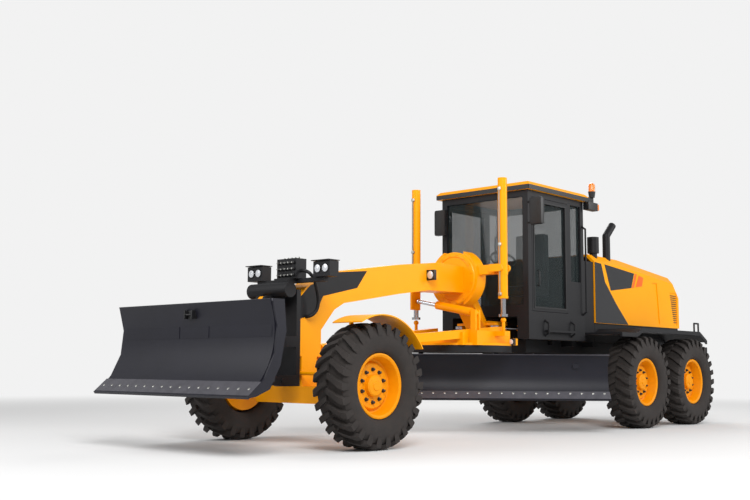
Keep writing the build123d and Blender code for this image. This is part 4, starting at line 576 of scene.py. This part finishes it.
# Blades: wear steel cutting edges with rows of plough bolts, and a bare lip along the top.
# Each blade's side curve is three (forward, up) pairs, from its bottom through its middle to its top.
DOZER_FACE = ((1.86, 0.58), (1.536, 1.005), (1.576, 1.525))
DOZER_EDGE_HALF = 1.28
DOZER_BOLTS = 17
MOLD_FACE = ((0.30, 0.45), (0.145, 0.786), (0.26, 1.06))
MOLD_EDGE_HALF = 2.135
MOLD_BOLTS = 28
# The cutting edge and the lip lie between these shares of the curve.
EDGE_START = 0.02
EDGE_SHARE = 0.2
LIP_SHARE = 0.965
EDGE_LIFT = 0.016
EDGE_SKIN = 0.003
LIP_T = 0.004
LIP_DROP = 0.002
BOLT_UP = 0.09
BOLT_SINK = 0.001
BOLT_STEPS = 12
# Bolt head, turned: radius, height.
BOLT_HEAD = ((0.016, 0.0), (0.016, 0.003), (0.0112, 0.006), (0.0, 0.006))


def arc_spots(first, middle, last, shares):
    """Points on the arc through three (a, b) pairs, each with its unit normal to the hollow side."""
    (ax, ay), (bx, by), (cx, cy) = first, middle, last
    d = 2 * (ax * (by - cy) + bx * (cy - ay) + cx * (ay - by))
    a2, b2, c2 = ax * ax + ay * ay, bx * bx + by * by, cx * cx + cy * cy
    ox = (a2 * (by - cy) + b2 * (cy - ay) + c2 * (ay - by)) / d
    oy = (a2 * (cx - bx) + b2 * (ax - cx) + c2 * (bx - ax)) / d
    radius = ((ax - ox) ** 2 + (ay - oy) ** 2) ** 0.5
    start = atan2(ay - oy, ax - ox)
    sweep = (atan2(cy - oy, cx - ox) - start + pi) % (2 * pi) - pi
    spots = []
    for share in shares:
        a = start + sweep * share
        spots.append(((ox + radius * cos(a), oy + radius * sin(a)), (-cos(a), -sin(a))))
    return spots


def blade_detail(name, body, face, half_w, bolts, spot):
    """Cutting edge plate, plough bolts and top lip of a blade, from its side curve."""
    (low, _), (high, _), (lip, _), (top, _) = arc_spots(*face, (EDGE_START, EDGE_SHARE, LIP_SHARE, 1.0))
    run = Vector((high[0] - low[0], 0, high[1] - low[1])).normalized()
    out = Vector((run.z, 0, -run.x))
    near = EDGE_LIFT
    far = EDGE_LIFT + EDGE_SKIN
    edge = bmesh.new()
    heads = bmesh.new()
    lips = bmesh.new()
    add_prism(
        edge,
        [
            (low[0] + out.x * near, low[1] + out.z * near),
            (high[0] + out.x * near, high[1] + out.z * near),
            (high[0] + out.x * far, high[1] + out.z * far),
            (low[0] + out.x * far, low[1] + out.z * far),
        ],
        "Y",
        -half_w,
        half_w,
    )
    for k in range(bolts):
        y = half_w * (2 * (k + 0.5) / bolts - 1)
        foot = Vector((low[0], y, low[1])) + run * BOLT_UP + out * (far - BOLT_SINK)
        add_ring(heads, foot, out, BOLT_HEAD, BOLT_STEPS)
    add_prism(
        lips,
        [
            (lip[0], lip[1]),
            (top[0], top[1] - LIP_DROP),
            (top[0] + LIP_T, top[1] - LIP_DROP),
            (lip[0] + LIP_T, lip[1]),
        ],
        "Y",
        -half_w,
        half_w,
    )
    looks = (("edge", edge, wear_steel), ("bolts", heads, zinc_plate), ("lip", lips, wear_steel))
    for part_name, bm, material in looks:
        bmesh.ops.transform(bm, matrix=spot, verts=bm.verts)
        finish_piece(bm, name + "_" + part_name, body, material)


CIRCLE_PLACE = (-2.98, 0.0, 0.0)
BLADE_TURN = radians(43)
BLADE_SET = (0.0, -0.1315, 0.0)
dozer_spot = Matrix.Translation((AXLE_X, 0, 0))
circle_spot = Matrix.Translation(at(*CIRCLE_PLACE)) @ Matrix.Rotation(BLADE_TURN, 4, "Z")
mold_spot = circle_spot @ Matrix.Translation(BLADE_SET)
blade_detail("dozer", "dozer_blade", DOZER_FACE, DOZER_EDGE_HALF, DOZER_BOLTS, dozer_spot)
blade_detail("moldboard", "moldboard", MOLD_FACE, MOLD_EDGE_HALF, MOLD_BOLTS, mold_spot)

# Dozer blade: a smooth face skin between its end plates.
SKIN_FRONT = 0.0155
SKIN_BACK = 0.002
SKIN_HALF = 1.255
SKIN_STEPS = 18
SKIN_SHARP = 50
face_spots = arc_spots(
    *DOZER_FACE,
    [EDGE_SHARE + (1 - EDGE_SHARE) * k / SKIN_STEPS for k in range(SKIN_STEPS + 1)],
)
fore_line = [(x + nx * SKIN_FRONT, z + nz * SKIN_FRONT) for (x, z), (nx, nz) in face_spots]
back_line = [(x - nx * SKIN_BACK, z - nz * SKIN_BACK) for (x, z), (nx, nz) in face_spots]
skin = bmesh.new()
add_prism(skin, fore_line + back_line[::-1], "Y", -SKIN_HALF, SKIN_HALF)
bmesh.ops.translate(skin, vec=(AXLE_X, 0, 0), verts=skin.verts)
finish_piece(skin, "dozer_face", "dozer_blade", blade_coat, SKIN_SHARP)

# Hook bracket at the middle of the dozer blade's face: a plate, two cheeks and a pin between them.
HOOK_Z = (1.36, 1.45)
HOOK_PLATE_X = (1.53, 1.562)
HOOK_PLATE_HALF = 0.075
CHEEK_X = (1.55, 1.60)
CHEEK_Y = 0.06
CHEEK_HALF_T = 0.008
HOOK_ROUND = 0.004
HOOK_PIN = (1.585, 1.405)
HOOK_PIN_R = 0.009
hook = bmesh.new()
add_box(
    hook,
    at(HOOK_PLATE_X[0], -HOOK_PLATE_HALF, HOOK_Z[0]),
    at(HOOK_PLATE_X[1], HOOK_PLATE_HALF, HOOK_Z[1]),
    HOOK_ROUND,
)
for y in (-CHEEK_Y, CHEEK_Y):
    add_box(
        hook,
        at(CHEEK_X[0], y - CHEEK_HALF_T, HOOK_Z[0]),
        at(CHEEK_X[1], y + CHEEK_HALF_T, HOOK_Z[1]),
        HOOK_ROUND,
    )
add_tube(hook, [at(HOOK_PIN[0], y, HOOK_PIN[1]) for y in (-CHEEK_Y, CHEEK_Y)], HOOK_PIN_R)
finish_piece(hook, "dozer_hook", "dozer_blade", black_abs)

# Bright side shift rod behind the moldboard, in the moldboard's own frame.
SHIFT_ROD = (0.03, 0.73)
SHIFT_ROD_HALF = 1.438
SHIFT_ROD_R = 0.0344
SHIFT_ROD_STEPS = 28
shift_bar = bmesh.new()
add_tube(
    shift_bar,
    [(SHIFT_ROD[0], y, SHIFT_ROD[1]) for y in (-SHIFT_ROD_HALF, SHIFT_ROD_HALF)],
    SHIFT_ROD_R,
    SHIFT_ROD_STEPS,
)
bmesh.ops.transform(shift_bar, matrix=mold_spot, verts=shift_bar.verts)
finish_piece(shift_bar, "side_shift_chrome", "moldboard", hard_chrome)

# Lift cylinders: gland nuts, port blocks and a hard line down each barrel.
LIFT_X = -2.98
LIFT_Y = 0.75
# Columns: foot of the gland, height.
GLANDS = ((1.782, 0.035), (2.10, 0.05))
GLAND_INNER_R = 0.0625
GLAND_R = 0.068
GLAND_CHAMFER = 0.004
GLAND_STEPS = 36
PORTS_Z = (1.84, 2.50, 3.25)
PORT_BLOCK_X = (0.055, 0.088)
PORT_BLOCK_HALF = 0.02
PORT_BLOCK_ROUND = 0.004
LINE_X = 0.078
LINE_R = 0.009
LINE_STEPS = 10
for label, side in (("left", 1), ("right", -1)):
    gland = bmesh.new()
    lines = bmesh.new()
    y = side * LIFT_Y
    for z, tall in GLANDS:
        nut = (
            (GLAND_INNER_R, 0.0),
            (GLAND_R, GLAND_CHAMFER),
            (GLAND_R, tall - GLAND_CHAMFER),
            (GLAND_INNER_R, tall),
        )
        add_ring(gland, at(LIFT_X, y, z), (0, 0, 1), nut, GLAND_STEPS)
    for z in PORTS_Z:
        add_box(
            lines,
            at(LIFT_X + PORT_BLOCK_X[0], y - PORT_BLOCK_HALF, z - PORT_BLOCK_HALF),
            at(LIFT_X + PORT_BLOCK_X[1], y + PORT_BLOCK_HALF, z + PORT_BLOCK_HALF),
            PORT_BLOCK_ROUND,
        )
    add_tube(lines, [at(LIFT_X + LINE_X, y, z) for z in (PORTS_Z[0], PORTS_Z[-1])], LINE_R, LINE_STEPS)
    barrel = "lift_barrel_" + label
    finish_piece(gland, "lift_gland_" + label, barrel, yellow_enamel)
    finish_piece(lines, "lift_line_" + label, barrel, zinc_plate)

# Saddle: a round flange with a raised rim and bolts, closed round the beam.
SADDLE_SPOT = (-2.866, 0.0, 2.08)
# Turned forms: radius, distance forward.
FLANGE = (
    (0.0, -0.09),
    (0.345, -0.09),
    (0.362, -0.07),
    (0.362, -0.012),
    (0.350, 0.0),
    (0.300, 0.0),
    (0.292, -0.012),
    (0.0, -0.012),
)
FLANGE_BOLT = ((0.014, -0.001), (0.014, 0.010), (0.0, 0.010))
FLANGE_STEPS = 64
FLANGE_BOLTS = 16
BOLT_CIRCLE = 0.325
flange = bmesh.new()
add_ring(flange, at(*SADDLE_SPOT), (1, 0, 0), FLANGE, FLANGE_STEPS)
for k in range(FLANGE_BOLTS):
    a = 2 * pi * (k + 0.5) / FLANGE_BOLTS
    spot = at(*SADDLE_SPOT) + Vector((0, BOLT_CIRCLE * cos(a), BOLT_CIRCLE * sin(a)))
    add_ring(flange, spot, (1, 0, 0), FLANGE_BOLT, HEX)
finish_piece(flange, "saddle_flange", "front", yellow_enamel)

# Mirrors: rounded shells over the plain mirror plates, each with a glass pane on its rear face.
MIRROR_SPOTS = (("left", (-3.50, 0.95, 3.00)), ("right", (-3.45, -0.67, 2.97)))
SHELL_HALF = Vector((0.045, 0.10, 0.19))
SHELL_ROUND = 0.04
SHELL_SHARP = 60
# Pane's corners from the mirror's centre.
PANE = (Vector((-0.048, -0.075, -0.155)), Vector((-0.044, 0.075, 0.155)))
PANE_ROUND = 0.001
for label, spot in MIRROR_SPOTS:
    shell = bmesh.new()
    add_box(shell, at(*spot) - SHELL_HALF, at(*spot) + SHELL_HALF, SHELL_ROUND)
    finish_piece(shell, "mirror_shell_" + label, "root", black_abs, SHELL_SHARP)
    pane = bmesh.new()
    add_box(pane, at(*spot) + PANE[0], at(*spot) + PANE[1], PANE_ROUND)
    finish_piece(pane, "mirror_glass_" + label, "root", hard_chrome)

# Cab: a dark band round the edge of its roof.
ROOF_BAND = ((-5.102, -0.812), (-3.518, 0.812))
ROOF_BAND_Z = (3.328, 3.392)
BAND_T = 0.004
band = bmesh.new()
(x0, y0), (x1, y1) = ROOF_BAND
for low, high in (
    ((x0, y0), (x0 + BAND_T, y1)),
    ((x1 - BAND_T, y0), (x1, y1)),
    ((x0, y0), (x1, y0 + BAND_T)),
    ((x0, y1 - BAND_T), (x1, y1)),
):
    add_box(band, at(*low, ROOF_BAND_Z[0]), at(*high, ROOF_BAND_Z[1]))
finish_piece(band, "roof_band", "root", black_abs)

# Doors: a rubber seal round each pane, and a grab handle.
DOOR_GLASS = ((-4.53, 1.716), (-3.736, 3.174))
DOOR_OUT = 0.75
SEAL_W = 0.022
SEAL_T = 0.006
HANDLE_X = -3.80
HANDLE_R = 0.011
# Handle's path: distance out from the door, height.
HANDLE_PATH = ((0.0, 2.00), (0.035, 2.02), (0.035, 2.20), (0.0, 2.22))
(gx0, gz0), (gx1, gz1) = DOOR_GLASS
SEAL_SIDES = (
    ((gx0 - SEAL_W, gz0 - SEAL_W), (gx1 + SEAL_W, gz0)),
    ((gx0 - SEAL_W, gz1), (gx1 + SEAL_W, gz1 + SEAL_W)),
    ((gx0 - SEAL_W, gz0), (gx0, gz1)),
    ((gx1, gz0), (gx1 + SEAL_W, gz1)),
)
for label, side in (("left", 1), ("right", -1)):
    seal = bmesh.new()
    handle = bmesh.new()
    y0, y1 = sorted((side * DOOR_OUT, side * (DOOR_OUT + SEAL_T)))
    for low, high in SEAL_SIDES:
        add_box(seal, at(low[0], y0, low[1]), at(high[0], y1, high[1]))
    add_tube(handle, [at(HANDLE_X, side * (DOOR_OUT + out), z) for out, z in HANDLE_PATH], HANDLE_R)
    finish_piece(seal, "door_seal_" + label, "door_" + label, hose_rubber)
    finish_piece(handle, "door_handle_" + label, "door_" + label, black_abs)

# Beacon and side lamp on the cab's rear corner: amber dome and lens, dark bracket and box.
BEACON_SPOT = (-5.22, 0.80)
DOME_Z = 3.50
BASE_Z = 3.41
BEACON_STEPS = 32
# Turned forms: radius, height.
DOME = ((0.05, 0.0), (0.05, 0.09), (0.04, 0.12), (0.02, 0.13), (0.0, 0.13))
BASE = ((0.0, 0.0), (0.042, 0.0), (0.055, 0.09), (0.0, 0.09))
SIDE_LENS = ((-5.352, 0.755, 3.225), (-5.31, 0.845, 3.315))
SIDE_LENS_ROUND = 0.008
# Columns: low corner, high corner, rounding.
BEACON_BOXES = (
    ((-5.27, 0.78, 3.32), (-5.04, 0.80, 3.41), 0.004),
    ((-5.31, 0.75, 3.21), (-5.04, 0.85, 3.33), 0.012),
)
dome = bmesh.new()
add_ring(dome, at(*BEACON_SPOT, DOME_Z), (0, 0, 1), DOME, BEACON_STEPS)
add_box(dome, at(*SIDE_LENS[0]), at(*SIDE_LENS[1]), SIDE_LENS_ROUND)
finish_piece(dome, "beacon_dome", "root", amber_lens)
base = bmesh.new()
add_ring(base, at(*BEACON_SPOT, BASE_Z), (0, 0, 1), BASE, BEACON_STEPS)
for low, high, round_off in BEACON_BOXES:
    add_box(base, at(*low), at(*high), round_off)
base_piece = finish_piece(base, "beacon_base", "root", black_abs)
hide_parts("beacon")

# Work lamps at the neck and over the blade: dark housings with clear lenses.
# Columns: name, body, place, radius.
WORK_LAMPS = (
    ("neck_lamp", "front", (-2.098, 0.225, 2.065), 0.052),
    ("blade_lamp_left", "drawbar", (-3.278, 0.66, 1.22), 0.036),
    ("blade_lamp_right", "drawbar", (-3.278, -0.66, 1.22), 0.036),
)
HOUSING_SHARE = 1.3
HOUSING_X = (-0.05, 0.001)
HOUSING_ROUND = 0.012
for name, body, spot, radius in WORK_LAMPS:
    lens = bmesh.new()
    bulge = ((radius, 0.0), (radius * 0.9, 0.004), (0.0, 0.008))
    add_ring(lens, at(*spot), (1, 0, 0), bulge, LENS_STEPS)
    finish_piece(lens, name + "_lens", body, lamp_lens)
    housing = bmesh.new()
    reach = radius * HOUSING_SHARE
    add_box(
        housing,
        at(*spot) + Vector((HOUSING_X[0], -reach, -reach)),
        at(*spot) + Vector((HOUSING_X[1], reach, reach)),
        HOUSING_ROUND,
    )
    finish_piece(housing, name + "_housing", body, black_abs)

# Tail lamps, red, on the bumper's corners.
TAIL_X = -8.754
TAIL_Y = 0.80
TAIL_Z = (1.13, 1.21)
TAIL_LENS = ((0.032, 0.0), (0.030, 0.004), (0.0, 0.006))
TAIL_STEPS = 24
tail = bmesh.new()
for side in (1, -1):
    for z in TAIL_Z:
        add_ring(tail, at(TAIL_X, side * TAIL_Y, z), (-1, 0, 0), TAIL_LENS, TAIL_STEPS)
finish_piece(tail, "tail_lamps", "root", red_lens)

# Camera: fitted to the photograph from the wheels, rims and dozer blade.
CAMERA_PLACE = (11.58, 8.56, 0.877)
CAMERA_YAW = radians(222.29)
CAMERA_PITCH = radians(6.53)
CAMERA_ROLL = radians(0.317)
CAMERA_LENS = 49.0
SENSOR_W = 36.0
look = Vector((cos(CAMERA_PITCH) * cos(CAMERA_YAW), cos(CAMERA_PITCH) * sin(CAMERA_YAW), sin(CAMERA_PITCH)))
level_right = look.cross((0, 0, 1)).normalized()
level_up = level_right.cross(look)
right = cos(CAMERA_ROLL) * level_right + sin(CAMERA_ROLL) * level_up
up = cos(CAMERA_ROLL) * level_up - sin(CAMERA_ROLL) * level_right
camera_data = bpy.data.cameras.new("camera")
camera_data.lens = CAMERA_LENS
camera_data.sensor_width = SENSOR_W
camera = bpy.data.objects.new("camera", camera_data)
turn = Matrix((right, up, -look)).transposed().to_4x4()
camera.matrix_world = Matrix.Translation(CAMERA_PLACE) @ turn
bpy.context.scene.collection.objects.link(camera)
bpy.context.scene.camera = camera
bpy.context.scene.view_settings.view_transform = "Standard"

# Stage: a pale floor that fades into the same pale background away from the machine.
PALE = "F2F2F2"
FLOOR_HALF = 150.0
FADE_START = 8.0
FADE_END = 20.0
bm = bmesh.new()
bmesh.ops.create_grid(bm, x_segments=1, y_segments=1, size=FLOOR_HALF)
floor_mesh = bpy.data.meshes.new("floor")
bm.to_mesh(floor_mesh)
bm.free()
floor = bpy.data.objects.new("floor", floor_mesh)
bpy.context.scene.collection.objects.link(floor)
# Matt painted studio floor.
floor_paint = bpy.data.materials.new("studio_floor")
floor_paint.use_nodes = True
tree = floor_paint.node_tree
main = tree.nodes["Principled BSDF"]
main.inputs["Base Color"].default_value = linear("E4E4E4")
main.inputs["Roughness"].default_value = 0.8
place = add_node(tree, "ShaderNodeTexCoord", {}).outputs["Object"]
away = add_node(tree, "ShaderNodeVectorMath", {0: place}, operation="LENGTH").outputs["Value"]
fade = add_node(
    tree,
    "ShaderNodeMapRange",
    {"Value": away, "From Min": FADE_START, "From Max": FADE_END},
    interpolation_type="SMOOTHSTEP",
).outputs["Result"]
glow = add_node(tree, "ShaderNodeEmission", {"Color": linear(PALE)}).outputs["Emission"]
blend = add_node(tree, "ShaderNodeMixShader", {"Fac": fade, 1: main.outputs["BSDF"], 2: glow})
tree.links.new(blend.outputs["Shader"], tree.nodes["Material Output"].inputs["Surface"])
floor_mesh.materials.append(floor_paint)

# World: soft grey fill on the machine, the pale colour behind it.
FILL = 0.45
world = bpy.data.worlds.new("studio")
world.use_nodes = True
bpy.context.scene.world = world
tree = world.node_tree
rays = add_node(tree, "ShaderNodeLightPath", {}).outputs
seen = add_node(
    tree, "ShaderNodeMath", {0: rays["Is Camera Ray"], 1: rays["Is Transmission Ray"]}, operation="MAXIMUM"
).outputs["Value"]
strength = add_node(
    tree, "ShaderNodeMapRange", {"Value": seen, "To Min": FILL, "To Max": 1.0}
).outputs["Result"]
backdrop = tree.nodes["Background"]
backdrop.inputs["Color"].default_value = linear(PALE)
tree.links.new(strength, backdrop.inputs["Strength"])

# Softbox lamps, aimed at the machine's middle: name, place, width, watts.
LAMP_AIM = Vector((0.0, 0.0, 1.2))
LAMPS = (
    ("key", (9.0, 9.0, 9.5), 6.0, 1500),
    ("fill", (12.0, -5.0, 7.0), 7.0, 500),
    ("side", (-8.0, 11.0, 7.0), 7.0, 900),
    ("back", (-10.0, -8.0, 9.0), 7.0, 700),
)
for lamp_name, spot, width, watts in LAMPS:
    lamp_data = bpy.data.lights.new(lamp_name, "AREA")
    lamp_data.shape = "SQUARE"
    lamp_data.size = width
    lamp_data.energy = watts
    lamp = bpy.data.objects.new(lamp_name, lamp_data)
    aim = (LAMP_AIM - Vector(spot)).to_track_quat("-Z", "Y").to_matrix().to_4x4()
    lamp.matrix_world = Matrix.Translation(spot) @ aim
    bpy.context.scene.collection.objects.link(lamp)

bpy.context.view_layer.update()
